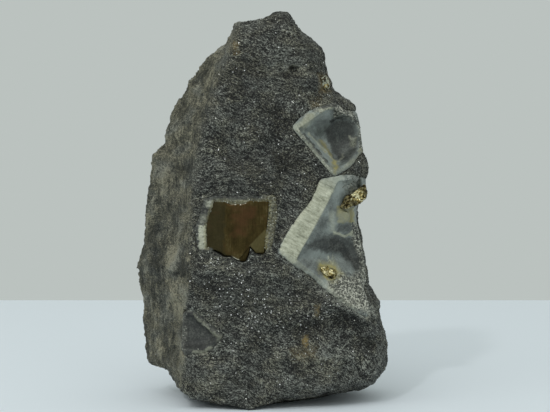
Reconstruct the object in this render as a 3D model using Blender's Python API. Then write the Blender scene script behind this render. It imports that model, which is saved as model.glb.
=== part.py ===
"""Pyrite specimen: a broken block of grey mica schist that stands on its base.

A pyrite crystal sits in the front face inside a fringe of fibrous quartz. Two cube-shaped moulds, from which
crystals have dropped out, open on the right flank, and a small one lies low on the left. Each mould is lined
with quartz, and grains of pyrite are left on the flank and in the large mould.

+Z is up and the front face looks along -Y. The origin lies on the surface that the block stands on.
Every dimension below is in millimetres.
"""

import math
import random

import bmesh
import bpy
from mathutils import Euler, Matrix, Vector, noise
from mathutils.geometry import delaunay_2d_cdt

MM = 0.001
FIT_GAP = 0.3  # clearance between two pieces that touch

# The block's contour and the edge of its front face, clockwise from the crown: (x, z, front x, front z).
# The contour is the widest line round the block. The front edge lies opposite each of its points.
OUTLINE = [
    (1.4, 89.0, 1.8, 87.0),
    (3.0, 90.2, 3.2, 88.0),
    (5.6, 90.0, 4.8, 87.8),
    (7.2, 87.6, 5.8, 86.0),
    (9.4, 84.8, 7.6, 83.6),
    (12.3, 82.8, 10.0, 81.4),
    (14.2, 80.2, 11.8, 78.6),
    (14.8, 76.0, 12.4, 75.2),
    (15.9, 72.6, 13.2, 72.0),
    (18.4, 70.2, 15.2, 69.8),
    (21.0, 68.0, 17.6, 67.4),
    (22.2, 64.0, 19.2, 64.2),
    (22.8, 59.4, 19.8, 60.0),
    (23.8, 54.4, 20.4, 55.4),
    (23.4, 49.4, 20.0, 50.4),
    (21.6, 44.6, 18.8, 46.0),
    (21.6, 40.8, 18.8, 41.6),
    (22.4, 36.2, 19.4, 37.4),
    (23.3, 31.4, 20.2, 32.6),
    (24.4, 26.6, 21.6, 27.4),
    (26.6, 22.4, 23.4, 23.4),
    (27.2, 17.8, 24.4, 18.6),
    (28.9, 12.4, 26.0, 13.4),
    (28.6, 6.8, 26.0, 8.6),
    (25.8, 3.2, 24.0, 5.4),
    (19.4, 1.2, 18.6, 4.2),
    (12.0, -0.6, 12.0, 3.2),
    (7.0, -2.2, 6.0, 2.9),
    (1.0, -2.8, 0.8, 1.6),
    (-3.0, -2.8, -3.0, 0.2),
    (-8.0, -2.6, -8.2, 1.4),
    (-13.0, -1.6, -12.8, 2.0),
    (-18.6, 0.6, -16.4, 2.6),
    (-21.4, 3.4, -18.6, 4.2),
    (-23.0, 6.2, -18.6, 8.0),
    (-27.0, 7.2, -18.2, 11.0),
    (-28.4, 10.8, -17.9, 14.6),
    (-29.1, 16.6, -17.6, 19.6),
    (-29.3, 22.4, -17.2, 24.6),
    (-30.2, 30.6, -16.8, 30.2),
    (-29.6, 34.6, -17.0, 35.0),
    (-28.8, 40.0, -17.0, 40.4),
    (-28.7, 45.6, -16.6, 45.8),
    (-28.2, 50.4, -16.0, 51.2),
    (-27.2, 56.2, -15.4, 56.0),
    (-24.6, 59.4, -14.8, 59.4),
    (-23.4, 63.0, -14.0, 63.2),
    (-22.2, 68.0, -13.0, 67.0),
    (-19.9, 72.0, -11.8, 70.8),
    (-17.2, 75.8, -10.6, 74.4),
    (-14.6, 79.6, -9.6, 78.6),
    (-11.0, 82.6, -8.0, 81.6),
    (-8.0, 84.8, -6.4, 84.0),
    (-7.4, 87.2, -5.0, 85.6),
    (-1.4, 88.2, -1.2, 86.4),
]

# The front face leans back as it rises and bows back to both sides; the back face leans forward.
MIDDLE_X = -1.0
FRONT_FOOT_Y = -15.5
FRONT_LEAN = 0.11
FRONT_BOW = 0.006
BACK_FOOT_Y = 14.5
BACK_LEAN = 0.10
BACK_BOW = 0.004
CONTOUR_Y = 2.0
CONTOUR_SKEW = 0.08  # the contour lies deeper on the left, where a broad flank shows
EDGE_SET_BACK = 1.0  # the front edge lies this far behind the face it bounds
SHARP_EDGE_SET_BACK = 0.2  # and this far where the left flank meets the face in a sharp edge
SHARP_BELOW_Z = 40.0

# The back face is this much smaller than the contour all round, and its edge is this far from it.
BACK_DRAWN_IN = 0.10
BACK_DRAWN_UP = 0.02  # at its foot
BACK_CENTRE = (-1.0, 40.0)
BACK_EDGE_SET_IN = 2.0
LINES_TO_BACK = 2  # steps from the back face's edge to the contour
LINES_TO_FRONT = 4  # and from the contour to the front face's edge
GRID = 1.9  # the faces are modelled in triangles about this long
GRID_JITTER = 0.4
GRID_MARGIN = 0.6  # no point of the grid is nearer to the face's edge than this share of it
SEED = 11

# Low relief of the front face: a line from (x, z) to (x, z), its height to the front and its half width.
SWELL_UNDER_CRYSTAL = ((-13.0, 30.0), (-1.0, 29.4), 0.9, 3.2)
RIDGE_FROM_LARGE_MOULD = ((14.0, 25.0), (26.0, 20.4), 1.3, 2.6)
HOLLOW_UNDER_RIDGE = ((3.0, 17.6), (25.0, 15.4), -1.1, 2.8)
TROUGH_BY_THE_BAND = ((4.6, 58.0), (3.6, 42.0), -0.6, 2.4)
STEP_ACROSS_UPPER_FACE = ((-13.0, 64.0), (8.0, 62.6), 0.5, 1.8)
PIT_NEAR_THE_CROWN = ((6.2, 76.6), (6.6, 76.2), -1.2, 1.3)
FRONT_RELIEF = (
    SWELL_UNDER_CRYSTAL,
    RIDGE_FROM_LARGE_MOULD,
    HOLLOW_UNDER_RIDGE,
    TROUGH_BY_THE_BAND,
    STEP_ACROSS_UPPER_FACE,
    PIT_NEAR_THE_CROWN,
)

# Roughness of the broken rock: (length of a bump, its height).
BROAD_LUMPS = (13.0, 0.9)
SMALL_LUMPS = (4.6, 0.45)
LEAF_THICKNESS = 2.8  # the schist parts in leaves parallel to the front face
LEAF_STEP = 0.9  # the broken edge of a leaf stands at most this far in or out
LEAF_LENGTH = 17.0
WORN_FOOT = (1.0, 9.0)  # the block is smoother towards its base, between these heights
WORN_SHARE = 0.25
FLANK_SHARE = 0.5  # the lumps are this much lower on the flanks
CALM = (-6.0, 41.0)  # round the crystal the front face is flat, out to the first of these distances,
CALM_RADII = (6.0, 12.0)  # and as rough as elsewhere from the second

# Ledges where leaves have split off the back: outline (x, z) and the depth that is left.
UPPER_LEDGE = ([(-40, 52), (-12, 47), (3, 53), (13, 49), (40, 57), (40, 110), (-40, 110)], 10.6)
SIDE_LEDGE = ([(9, -10), (7, 12), (12, 27), (9, 41), (14, 50), (40, 58), (40, -10)], 11.2)
BACKWARD_REACH = 40.0  # how far a cutter runs out behind the block

# The crystal in the front face, as its exposed outline (x, z).
CRYSTAL = [
    (-11.3, 47.0),
    (-8.9, 47.1),
    (-7.5, 46.2),
    (-4.6, 46.3),
    (-3.2, 47.0),
    (1.0, 46.9),
    (0.6, 42.0),
    (0.3, 39.4),
    (0.0, 35.2),
    (-1.8, 35.4),
    (-3.3, 37.2),
    (-3.5, 35.6),
    (-4.2, 33.6),
    (-5.2, 33.6),
    (-7.5, 34.8),
    (-8.9, 34.7),
    (-10.9, 35.9),
    (-12.9, 36.7),
    (-13.1, 41.2),
    (-12.4, 43.8),
]
CRYSTAL_DEPTH = 8.0
CRYSTAL_PROUD = 0.1  # its face stands this far before the smooth front face
STRIP = [(-20.0, 30.0), (-9.3, 30.0), (-8.9, 50.0), (-20.0, 50.0)]  # a shallow step down on the left
STRIP_STEP = 0.3
CHIP_CORNER = (-3.3, 37.2)  # a corner has cleaved off along a plane through here
CHIP_DEPTH = 0.15
CHIP_TURN_DEG = 38.0
CHIP_SLOPE_DEG = 14.0
CHIP_REACH = 12.0  # how far the cutter of the chip runs out
CHIP_THICKNESS = 4.0

# Fibrous quartz round the crystal: wide on the left, narrow above and on the right.
CRYSTAL_FRINGE = [
    (-13.2, 47.4),
    (-11.2, 47.9),
    (-4.0, 47.8),
    (2.2, 48.0),
    (2.7, 43.8),
    (1.9, 39.6),
    (1.2, 36.0),
    (-0.4, 37.0),
    (-8.0, 37.5),
    (-12.6, 35.4),
    (-14.6, 36.4),
    (-15.2, 38.6),
    (-15.1, 41.4),
    (-14.1, 44.2),
]
CRYSTAL_FRINGE_DEPTH = 4.5

# Moulds: the mouth on the front face, the floor, the depth, and the outline of the quartz round the mouth.
LARGE_MOUTH = [(7.4, 34.0), (16.9, 51.4), (36.0, 52.6), (36.0, 14.0), (18.4, 25.0)]
LARGE_FLOOR = [(18.6, 33.4), (27.6, 50.0), (44.0, 51.0), (44.0, 14.0), (29.0, 24.6)]
LARGE_DEPTH = 8.5
LARGE_QUARTZ = [(3.3, 35.8), (12.2, 51.5), (17.6, 52.4), (36.0, 53.6), (36.0, 12.4), (18.6, 23.7)]
LARGE_QUARTZ_FLOOR = [(15.8, 34.9), (24.4, 51.0), (28.0, 51.4), (44.0, 52.0), (44.0, 12.8), (28.8, 23.2)]

UPPER_MOUTH = [
    (7.9, 63.4), (15.7, 68.4), (17.8, 66.5), (20.8, 66.1),
    (28.0, 64.0), (28.0, 60.4), (15.8, 53.9),
]
UPPER_FLOOR = [
    (12.6, 60.6), (16.6, 65.0), (18.4, 65.4), (20.8, 65.0),
    (28.0, 64.0), (28.0, 61.6), (16.3, 56.4),
]
UPPER_DEPTH = 5.0
UPPER_QUARTZ = [
    (6.7, 63.7), (9.4, 66.6), (15.8, 69.3), (18.4, 67.3),
    (21.0, 67.0), (30.0, 65.0), (30.0, 60.4), (15.9, 52.9),
]
UPPER_QUARTZ_FLOOR = [
    (11.0, 60.7), (13.4, 64.4), (16.4, 66.6), (18.9, 66.7),
    (21.4, 66.3), (30.0, 65.0), (30.0, 60.6), (16.2, 54.9),
]
UPPER_BOWL = (18.2, 60.8, 4.3)  # x, z and radius of the rounded floor
UPPER_BOWL_SINK = 0.6

SMALL_MOUTH = [(-17.9, 21.8), (-16.2, 21.4), (-10.2, 16.6), (-12.6, 14.2), (-18.2, 13.3)]
SMALL_FLOOR = [(-18.2, 20.6), (-16.6, 20.2), (-11.6, 16.7), (-13.4, 15.0), (-18.4, 14.3)]
SMALL_DEPTH = 1.7
SMALL_QUARTZ = [(-18.0, 22.6), (-15.9, 22.2), (-9.0, 16.7), (-12.2, 13.2), (-18.4, 12.2)]
SMALL_QUARTZ_FLOOR = [(-18.3, 21.4), (-16.3, 21.0), (-10.6, 16.8), (-13.0, 14.2), (-18.6, 13.3)]

LINING = 1.1  # thickness of the quartz on a mould's floor

# Small grown-together cubes of pyrite: (x, y, z, edge, turn about X, Y and Z in degrees).
FLANK_CLUSTER = [
    (19.4, -4.2, 46.4, 3.0, 20, 40, 10),
    (20.9, -4.6, 47.8, 3.4, -15, 25, 32),
    (22.4, -3.8, 49.0, 3.2, 30, 12, -20),
    (18.5, -3.4, 45.5, 2.0, 10, 30, 45),
]
CROWN_GRAIN = [
    (14.7, -3.2, 73.3, 1.9, 25, 15, 40),
    (15.3, -2.4, 74.2, 1.5, -10, 35, 5),
]
MOULD_GRAIN = [
    (14.2, -7.9, 31.5, 2.2, 20, 25, 35),
    (15.6, -7.2, 30.9, 1.9, -20, 10, 15),
    (13.1, -8.5, 31.8, 1.5, 5, 40, -25),
]

FORWARD_REACH = 12.0  # how far a cutter runs out before the front face
LEAST_MITER = 0.5  # keeps an outline's sharp corners from growing into spikes
MOST_TURN_DEG = 40.0  # edges that turn more than this are shaded sharp

# Surfaces: colour, roughness and how metallic.
SCHIST = ((0.050, 0.052, 0.045), 0.62, 0.0)
PYRITE = ((0.42, 0.31, 0.13), 0.34, 1.0)
QUARTZ = ((0.36, 0.38, 0.32), 0.45, 0.0)


def clear_scene():
    for obj in list(bpy.data.objects):
        bpy.data.objects.remove(obj)


# ---- the block ----


def relief(x, z):
    """How far the front face stands out at (x, z)."""
    total = 0.0
    for (ax, az), (bx, bz), height, width in FRONT_RELIEF:
        along = Vector((bx - ax, bz - az))
        share = max(0.0, min(1.0, Vector((x - ax, z - az)).dot(along) / along.length_squared))
        off = Vector((x - ax, z - az)) - along * share
        total += height * math.exp(-((off.length / width) ** 2))
    return total


def front_y(x, z):
    return FRONT_FOOT_Y + FRONT_LEAN * z + FRONT_BOW * (x - MIDDLE_X) ** 2


def back_y(x, z):
    return BACK_FOOT_Y - BACK_LEAN * z - BACK_BOW * (x - MIDDLE_X) ** 2


def contour_y(x):
    return CONTOUR_Y - CONTOUR_SKEW * x


def halved(points):
    """The closed line with a point added in the middle of every side."""
    fuller = []
    for here, after in zip(points, points[1:] + points[:1]):
        fuller += [tuple(here), tuple((a + b) / 2 for a, b in zip(here, after))]
    return fuller


def contains(outline, x, z):
    inside = False
    for (ax, az), (bx, bz) in zip(outline, outline[1:] + outline[:1]):
        if (az > z) != (bz > z) and x < ax + (z - az) * (bx - ax) / (bz - az):
            inside = not inside
    return inside


def distance_to(outline, x, z):
    """How far (x, z) is from the nearest side of the outline."""
    nearest = math.inf
    for (ax, az), (bx, bz) in zip(outline, outline[1:] + outline[:1]):
        along = Vector((bx - ax, bz - az))
        share = max(0.0, min(1.0, Vector((x - ax, z - az)).dot(along) / along.length_squared))
        nearest = min(nearest, (Vector((x - ax, z - az)) - along * share).length)
    return nearest


def grid_inside(outline, chance):
    """Scattered points inside the outline, about GRID apart, for a face's triangles."""
    xs, zs = [p[0] for p in outline], [p[1] for p in outline]
    points = []
    row, z = 0, min(zs)
    while z < max(zs):
        x = min(xs) + (row % 2) * GRID / 2
        while x < max(xs):
            px = x + chance.uniform(-GRID_JITTER, GRID_JITTER)
            pz = z + chance.uniform(-GRID_JITTER, GRID_JITTER)
            if contains(outline, px, pz) and distance_to(outline, px, pz) > GRID_MARGIN * GRID:
                points.append((px, pz))
            x += GRID
        row += 1
        z += GRID * math.sqrt(3) / 2
    return points


def fill_face(mesh, rim, height, chance):
    """Closes a ring of vertices with triangles whose depth is height(x, z)."""
    outline = [(v.co.x, v.co.z) for v in rim]
    inner = grid_inside(outline, chance)
    flat = [Vector(p) for p in outline + inner]
    _, _, faces, origins, _, _ = delaunay_2d_cdt(flat, [], [list(range(len(outline)))], 1, 1e-6)
    verts = list(rim) + [mesh.verts.new((x, height(x, z), z)) for x, z in inner]
    for face in faces:
        mesh.faces.new([verts[origins[i][0]] for i in face])


def part_way(near, far, share):
    """The closed line that lies share of the way from one line to the other."""
    return [tuple(a + (b - a) * share for a, b in zip(p, q)) for p, q in zip(near, far)]


def edge_set_back(x, z):
    return SHARP_EDGE_SET_BACK if x < MIDDLE_X and z < SHARP_BELOW_Z else EDGE_SET_BACK


def rings():
    """Closed lines from the back face's edge, over the contour, to the front face's edge."""
    back, contour, edge = [], [], []
    for x, z, fx, fz in OUTLINE:
        bx = x + (BACK_CENTRE[0] - x) * BACK_DRAWN_IN
        bz = z + (BACK_CENTRE[1] - z) * (BACK_DRAWN_IN if z > BACK_CENTRE[1] else BACK_DRAWN_UP)
        back.append((bx, back_y(bx, bz) - BACK_EDGE_SET_IN, bz))
        contour.append((x, contour_y(x), z))
        edge.append((fx, front_y(fx, fz) - relief(fx, fz) + edge_set_back(fx, fz), fz))
    lines = [part_way(back, contour, i / LINES_TO_BACK) for i in range(LINES_TO_BACK)]
    lines += [part_way(contour, edge, i / LINES_TO_FRONT) for i in range(LINES_TO_FRONT)] + [edge]
    return [halved(line) for line in lines]


def broken_surface(point, normal):
    """How far the broken rock stands in or out at a point, in millimetres."""
    lumps = sum(height * noise.noise(point / length) for length, height in (BROAD_LUMPS, SMALL_LUMPS))
    leaf = math.floor(point.y / LEAF_THICKNESS)
    edge_step = LEAF_STEP * noise.noise(Vector((leaf * 7.3, point.x / LEAF_LENGTH, point.z / LEAF_LENGTH)))
    low, high = WORN_FOOT
    height = max(0.0, min(1.0, (point.z - low) / (high - low)))
    across = 1.0 - abs(normal.y)
    rough = lumps * (1.0 - FLANK_SHARE * across) + edge_step * across
    return rough * (WORN_SHARE + (1.0 - WORN_SHARE) * height)


def roughness_share(point, normal):
    """0 on the front face round the crystal, and 1 away from it."""
    if normal.y >= -0.5:
        return 1.0
    near, far = CALM_RADII
    distance = (Vector((point.x, point.z)) - Vector(CALM)).length
    return max(0.0, min(1.0, (distance - near) / (far - near)))


def block_mesh():
    """The whole block before anything is let into it, resting on a flat base at z 0."""
    chance = random.Random(SEED)
    mesh = bmesh.new()
    loops = [[mesh.verts.new(point) for point in ring] for ring in rings()]
    count = len(loops[0])
    for low, high in zip(loops, loops[1:]):
        for i in range(count):
            j = (i + 1) % count
            mesh.faces.new((low[i], high[i], high[j], low[j]))
    fill_face(mesh, loops[0], back_y, chance)
    fill_face(mesh, loops[-1], lambda x, z: front_y(x, z) - relief(x, z), chance)
    bmesh.ops.recalc_face_normals(mesh, faces=mesh.faces[:])
    mesh.normal_update()
    moves = [v.normal * broken_surface(v.co, v.normal) * roughness_share(v.co, v.normal) for v in mesh.verts]
    for vert, move in zip(mesh.verts, moves):
        vert.co += move
    bmesh.ops.triangulate(mesh, faces=mesh.faces[:])
    everything = mesh.verts[:] + mesh.edges[:] + mesh.faces[:]
    base = {"plane_co": (0, 0, 0), "plane_no": (0, 0, 1), "clear_inner": True}
    cut = bmesh.ops.bisect_plane(mesh, geom=everything, **base)
    rim = [e for e in cut["geom_cut"] if isinstance(e, bmesh.types.BMEdge)]
    bmesh.ops.edgeloop_fill(mesh, edges=rim)
    bmesh.ops.triangulate(mesh, faces=[f for f in mesh.faces if len(f.verts) > 3])
    bmesh.ops.recalc_face_normals(mesh, faces=mesh.faces[:])
    return mesh


# ---- making objects ----


def add_object(name, mesh):
    """A bmesh in millimetres becomes an object in metres."""
    bmesh.ops.scale(mesh, vec=(MM, MM, MM), verts=mesh.verts[:])
    data = bpy.data.meshes.new(name)
    mesh.to_mesh(data)
    mesh.free()
    obj = bpy.data.objects.new(name, data)
    bpy.context.scene.collection.objects.link(obj)
    return obj


def tool(name, mesh):
    """A cutter: it isn't part of the specimen."""
    obj = add_object(name, mesh)
    obj.hide_render = True
    obj.display_type = "WIRE"
    return obj


def combine(obj, other, operation):
    modifier = obj.modifiers.new(f"{operation.lower()} {other.name}", "BOOLEAN")
    modifier.operation = operation
    modifier.object = other
    modifier.solver = "EXACT"


def settled(obj):
    """Applies an object's modifiers, so that what follows starts from its final shape."""
    graph = bpy.context.evaluated_depsgraph_get()
    data = bpy.data.meshes.new_from_object(obj.evaluated_get(graph))
    obj.modifiers.clear()
    obj.data = data
    return obj


def copy_of(obj, name):
    copy = obj.copy()
    copy.data = obj.data.copy()
    copy.name = name
    bpy.context.scene.collection.objects.link(copy)
    return copy


def loft(rings):
    """A closed bmesh through rings of equal length."""
    mesh = bmesh.new()
    loops = [[mesh.verts.new(point) for point in ring] for ring in rings]
    count = len(rings[0])
    for low, high in zip(loops, loops[1:]):
        for i in range(count):
            j = (i + 1) % count
            mesh.faces.new((low[i], low[j], high[j], high[i]))
    mesh.faces.new(reversed(loops[0]))
    mesh.faces.new(loops[-1])
    bmesh.ops.triangulate(mesh, faces=mesh.faces[:])
    bmesh.ops.recalc_face_normals(mesh, faces=mesh.faces[:])
    return mesh


def grown(points, gap):
    """The outline with every side moved out by gap."""
    count = len(points)
    area = sum(a[0] * b[1] - b[0] * a[1] for a, b in zip(points, points[1:] + points[:1]))
    turn = 1.0 if area > 0 else -1.0
    moved = []
    for i in range(count):
        before, here, after = (Vector(points[k % count]) for k in (i - 1, i, i + 1))
        into = (here - before).normalized()
        out_of = (after - here).normalized()
        normal_in = Vector((into.y, -into.x)) * turn
        normal_out = Vector((out_of.y, -out_of.x)) * turn
        miter = (normal_in + normal_out).normalized()
        moved.append(tuple(here + miter * gap / max(LEAST_MITER, miter.dot(normal_in))))
    return moved


def sunk(mouth, floor, depth, gap=0.0):
    """A hollow's shape: straight out to the front from its mouth, and tapering to its floor."""
    mouth = grown(mouth, gap)
    floor = grown(floor, gap)
    before = [(x, front_y(x, z) - FORWARD_REACH, z) for x, z in mouth]
    level = [(x, front_y(x, z), z) for x, z in mouth]
    # the floor keeps the mouth's slope, so that each wall is flat
    bottom = [(fx, front_y(x, z) + depth + gap, fz) for (x, z), (fx, fz) in zip(mouth, floor)]
    return loft([before, level, bottom])


def straight(outline, near, far):
    """A prism along Y: near and far are distances behind the smooth front face."""
    return loft(
        [
            [(x, front_y(x, z) + near, z) for x, z in outline],
            [(x, front_y(x, z) + far, z) for x, z in outline],
        ]
    )


def cube_mesh(x, y, z, edge, *turn):
    mesh = bmesh.new()
    place = Matrix.Translation((x, y, z)) @ Euler([math.radians(a) for a in turn]).to_matrix().to_4x4()
    bmesh.ops.create_cube(mesh, size=edge, matrix=place)
    bmesh.ops.triangulate(mesh, faces=mesh.faces[:])
    return mesh


def cluster(name, cubes, gap=0.0):
    """Small cubes grown together, as one solid."""
    x, y, z, edge, *turn = cubes[0]
    body = tool(name, cube_mesh(x, y, z, edge + 2 * gap, *turn))
    for i, (x, y, z, edge, *turn) in enumerate(cubes[1:]):
        combine(body, tool(f"{name} cube {i}", cube_mesh(x, y, z, edge + 2 * gap, *turn)), "UNION")
    return settled(body)


def make_piece(obj, name, surface):
    """A finished solid becomes a named piece with its material."""
    settled(obj)
    obj.name = name
    obj.hide_render = False
    obj.display_type = "TEXTURED"
    obj.data.materials.clear()
    obj.data.materials.append(surface)
    obj.data.shade_smooth()
    obj.data.set_sharp_from_angle(angle=math.radians(MOST_TURN_DEG))
    return obj


def material(name, colour, roughness, metallic):
    surface = bpy.data.materials.new(name)
    surface.use_nodes = True
    shader = surface.node_tree.nodes["Principled BSDF"]
    shader.inputs["Base Color"].default_value = (*colour, 1.0)
    shader.inputs["Roughness"].default_value = roughness
    shader.inputs["Metallic"].default_value = metallic
    return surface


# ---- what is let into the block ----


def split_ledges(block):
    """Takes off the leaves that have split from the back."""
    for i, (outline, depth_left) in enumerate((UPPER_LEDGE, SIDE_LEDGE)):
        rings = [[(x, back_y(0.0, z) - back_y(0.0, 0.0) + depth_left, z) for x, z in outline]]
        rings.append([(x, y + BACKWARD_REACH, z) for x, y, z in rings[0]])
        combine(block, tool(f"split leaf {i}", loft(rings)), "DIFFERENCE")


def crystal_solid():
    """The crystal, its face stepped down on the left and cleaved at the lower right corner."""
    body = tool("crystal", straight(CRYSTAL, -CRYSTAL_PROUD, CRYSTAL_DEPTH))
    combine(body, tool("strip", straight(STRIP, -FORWARD_REACH, STRIP_STEP)), "DIFFERENCE")
    x, z = CHIP_CORNER
    chip = bmesh.new()
    bmesh.ops.create_cube(chip, size=1.0)
    bmesh.ops.triangulate(chip, faces=chip.faces[:])
    bmesh.ops.scale(chip, vec=(CHIP_REACH, CHIP_THICKNESS, CHIP_REACH), verts=chip.verts[:])
    bmesh.ops.translate(chip, vec=(CHIP_REACH / 2, -CHIP_THICKNESS / 2, 0.0), verts=chip.verts[:])
    slope = Matrix.Rotation(math.radians(CHIP_SLOPE_DEG), 4, "Z")
    turn = Matrix.Rotation(math.radians(CHIP_TURN_DEG), 4, "Y")
    place = Matrix.Translation((x, front_y(x, z) - CRYSTAL_PROUD + CHIP_DEPTH, z))
    bmesh.ops.transform(chip, matrix=place @ turn @ slope, verts=chip.verts[:])
    combine(body, tool("chip", chip), "DIFFERENCE")
    return settled(body)


def quartz_lining(block, name, quartz, quartz_floor, mouth, floor, depth):
    """The quartz of a mould: what lies between its outer outline and the hollow, flush with the block."""
    body = copy_of(block, name)
    combine(body, tool(f"{name} outside", sunk(quartz, quartz_floor, depth + LINING)), "INTERSECT")
    combine(body, tool(f"{name} hollow", sunk(mouth, floor, depth)), "DIFFERENCE")
    return body


def bowl():
    """The rounded floor of the upper mould."""
    x, z, radius = UPPER_BOWL
    mesh = bmesh.new()
    y = front_y(x, z) + UPPER_DEPTH + UPPER_BOWL_SINK - radius
    bmesh.ops.create_icosphere(mesh, subdivisions=3, radius=radius, matrix=Matrix.Translation((x, y, z)))
    return mesh


def centre_on_origin(pieces):
    """Moves the specimen so that the middle of its base's surrounding box is at the origin."""
    points = [v.co for obj in pieces for v in obj.data.vertices]
    middle = [(min(p[i] for p in points) + max(p[i] for p in points)) / 2 for i in (0, 1)]
    for obj in pieces:
        obj.data.transform(Matrix.Translation((-middle[0], -middle[1], 0.0)))


def build():
    clear_scene()
    schist = material("mica schist", *SCHIST)
    pyrite = material("pyrite", *PYRITE)
    quartz = material("fibrous quartz", *QUARTZ)

    whole = tool("whole block", block_mesh())
    split_ledges(whole)
    settled(whole)

    linings = [
        ("large_mould_quartz", LARGE_QUARTZ, LARGE_QUARTZ_FLOOR, LARGE_MOUTH, LARGE_FLOOR, LARGE_DEPTH),
        ("upper_mould_quartz", UPPER_QUARTZ, UPPER_QUARTZ_FLOOR, UPPER_MOUTH, UPPER_FLOOR, UPPER_DEPTH),
        ("small_mould_quartz", SMALL_QUARTZ, SMALL_QUARTZ_FLOOR, SMALL_MOUTH, SMALL_FLOOR, SMALL_DEPTH),
    ]
    clusters = [
        ("pyrite_flank_cluster", FLANK_CLUSTER),
        ("pyrite_crown_grain", CROWN_GRAIN),
        ("pyrite_mould_grain", MOULD_GRAIN),
    ]
    seats = [cluster(f"{name} seat", cubes, FIT_GAP) for name, cubes in clusters]

    matrix = copy_of(whole, "schist_matrix")
    for name, outside, outside_floor, mouth, floor, depth in linings:
        seat = tool(f"{name} seat", sunk(outside, outside_floor, depth + LINING, FIT_GAP))
        combine(matrix, seat, "DIFFERENCE")
    fringe_room = straight(grown(CRYSTAL_FRINGE, FIT_GAP), -FORWARD_REACH, CRYSTAL_FRINGE_DEPTH + FIT_GAP)
    fringe_seat = tool("fringe seat", fringe_room)
    crystal_room = straight(grown(CRYSTAL, FIT_GAP), -FORWARD_REACH, CRYSTAL_DEPTH + FIT_GAP)
    crystal_seat = tool("crystal seat", crystal_room)
    combine(matrix, fringe_seat, "DIFFERENCE")
    combine(matrix, crystal_seat, "DIFFERENCE")
    for seat in seats:
        combine(matrix, seat, "DIFFERENCE")
    make_piece(matrix, "schist_matrix", schist)

    fringe = copy_of(whole, "crystal_fringe_quartz")
    fringe_shape = tool("fringe shape", straight(CRYSTAL_FRINGE, -FORWARD_REACH, CRYSTAL_FRINGE_DEPTH))
    combine(fringe, fringe_shape, "INTERSECT")
    combine(fringe, crystal_seat, "DIFFERENCE")
    make_piece(fringe, "crystal_fringe_quartz", quartz)

    for name, outside, outside_floor, mouth, floor, depth in linings:
        body = quartz_lining(whole, name, outside, outside_floor, mouth, floor, depth)
        if name == "upper_mould_quartz":
            combine(body, tool("bowl", bowl()), "DIFFERENCE")
        for seat in seats:
            combine(body, seat, "DIFFERENCE")
        make_piece(body, name, quartz)

    make_piece(crystal_solid(), "pyrite_crystal", pyrite)
    for name, cubes in clusters:
        make_piece(cluster(name, cubes), name, pyrite)
    bpy.data.objects.remove(whole)
    centre_on_origin([obj for obj in bpy.context.scene.objects if not obj.hide_render])


build()
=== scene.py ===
"""The looks of the pyrite specimen: a block of grey mica schist with a pyrite crystal, quartz-lined moulds
of lost crystals and grains of broken pyrite. The block comes first, and then what sits in it."""

import math

import bmesh
import bpy
import numpy as np
from mathutils import Matrix, Vector, noise
from mathutils.bvhtree import BVHTree


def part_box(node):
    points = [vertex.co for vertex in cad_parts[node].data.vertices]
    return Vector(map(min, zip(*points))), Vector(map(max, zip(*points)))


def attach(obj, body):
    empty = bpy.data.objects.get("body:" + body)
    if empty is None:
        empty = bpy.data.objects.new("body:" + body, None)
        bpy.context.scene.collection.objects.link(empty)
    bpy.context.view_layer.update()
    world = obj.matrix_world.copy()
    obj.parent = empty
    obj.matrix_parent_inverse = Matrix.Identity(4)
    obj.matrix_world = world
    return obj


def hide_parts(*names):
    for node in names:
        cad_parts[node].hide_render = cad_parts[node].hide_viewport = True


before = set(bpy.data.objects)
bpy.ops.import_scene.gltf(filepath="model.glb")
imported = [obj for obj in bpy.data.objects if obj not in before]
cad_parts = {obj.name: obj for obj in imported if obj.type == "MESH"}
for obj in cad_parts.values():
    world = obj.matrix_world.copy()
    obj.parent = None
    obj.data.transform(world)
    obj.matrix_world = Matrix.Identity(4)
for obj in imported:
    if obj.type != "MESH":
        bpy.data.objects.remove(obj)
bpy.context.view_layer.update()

MM = 0.001


# ---- The block ----
# A broken block of mica schist: dark quartz and mica grains in thin upright leaves. Its front and back are
# cleavage faces that follow the leaves. The flanks break across them and are streaked from top to foot.

SCHIST_CELL = 0.40 * MM
CRYSTAL_LEFT = -13.1  # the left side of the crystal, in the millimetres in which the features are placed
SHIFT = Vector((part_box("pyrite_crystal")[0].x / MM - CRYSTAL_LEFT, 0, 0))
FACE_Y = -12.0  # where the front face stands, in millimetres
VIEW_ELEVATION = math.radians(6.0)  # the features are placed as seen from this much above
LAYOUT_LEAN = math.tan(VIEW_ELEVATION)
FIT = 0.45  # this near a seat the rock keeps its shape, so that what sits there still fits, in millimetres


def shown(name, data):
    """A new object of some data, in the scene."""
    new = bpy.data.objects.new(name, data)
    bpy.context.scene.collection.objects.link(new)
    return new


def kept(name, mesh):
    """The data of a mesh that has been worked on and is now done with."""
    data = bpy.data.meshes.new(name)
    mesh.to_mesh(data)
    mesh.free()
    return data


JOINED = 1e-7  # points nearer to each other than this are one, in metres


def copied(name, node):
    """A new piece with a node's surface, its loose triangles joined."""
    mesh = bmesh.new()
    mesh.from_mesh(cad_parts[node].data)
    bmesh.ops.remove_doubles(mesh, verts=mesh.verts[:], dist=JOINED)
    return shown(name, kept(name, mesh))


def settle(piece):
    """Applies a piece's modifiers."""
    graph = bpy.context.evaluated_depsgraph_get()
    mesh = bpy.data.meshes.new_from_object(piece.evaluated_get(graph))
    piece.modifiers.clear()
    piece.data = mesh
    return piece


def even(piece, cell):
    """Gives a piece an even mesh of small squares."""
    remesh = piece.modifiers.new("even", "REMESH")
    remesh.mode = "VOXEL"
    remesh.voxel_size = cell
    remesh.adaptivity = 0.0
    return settle(piece)


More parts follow.
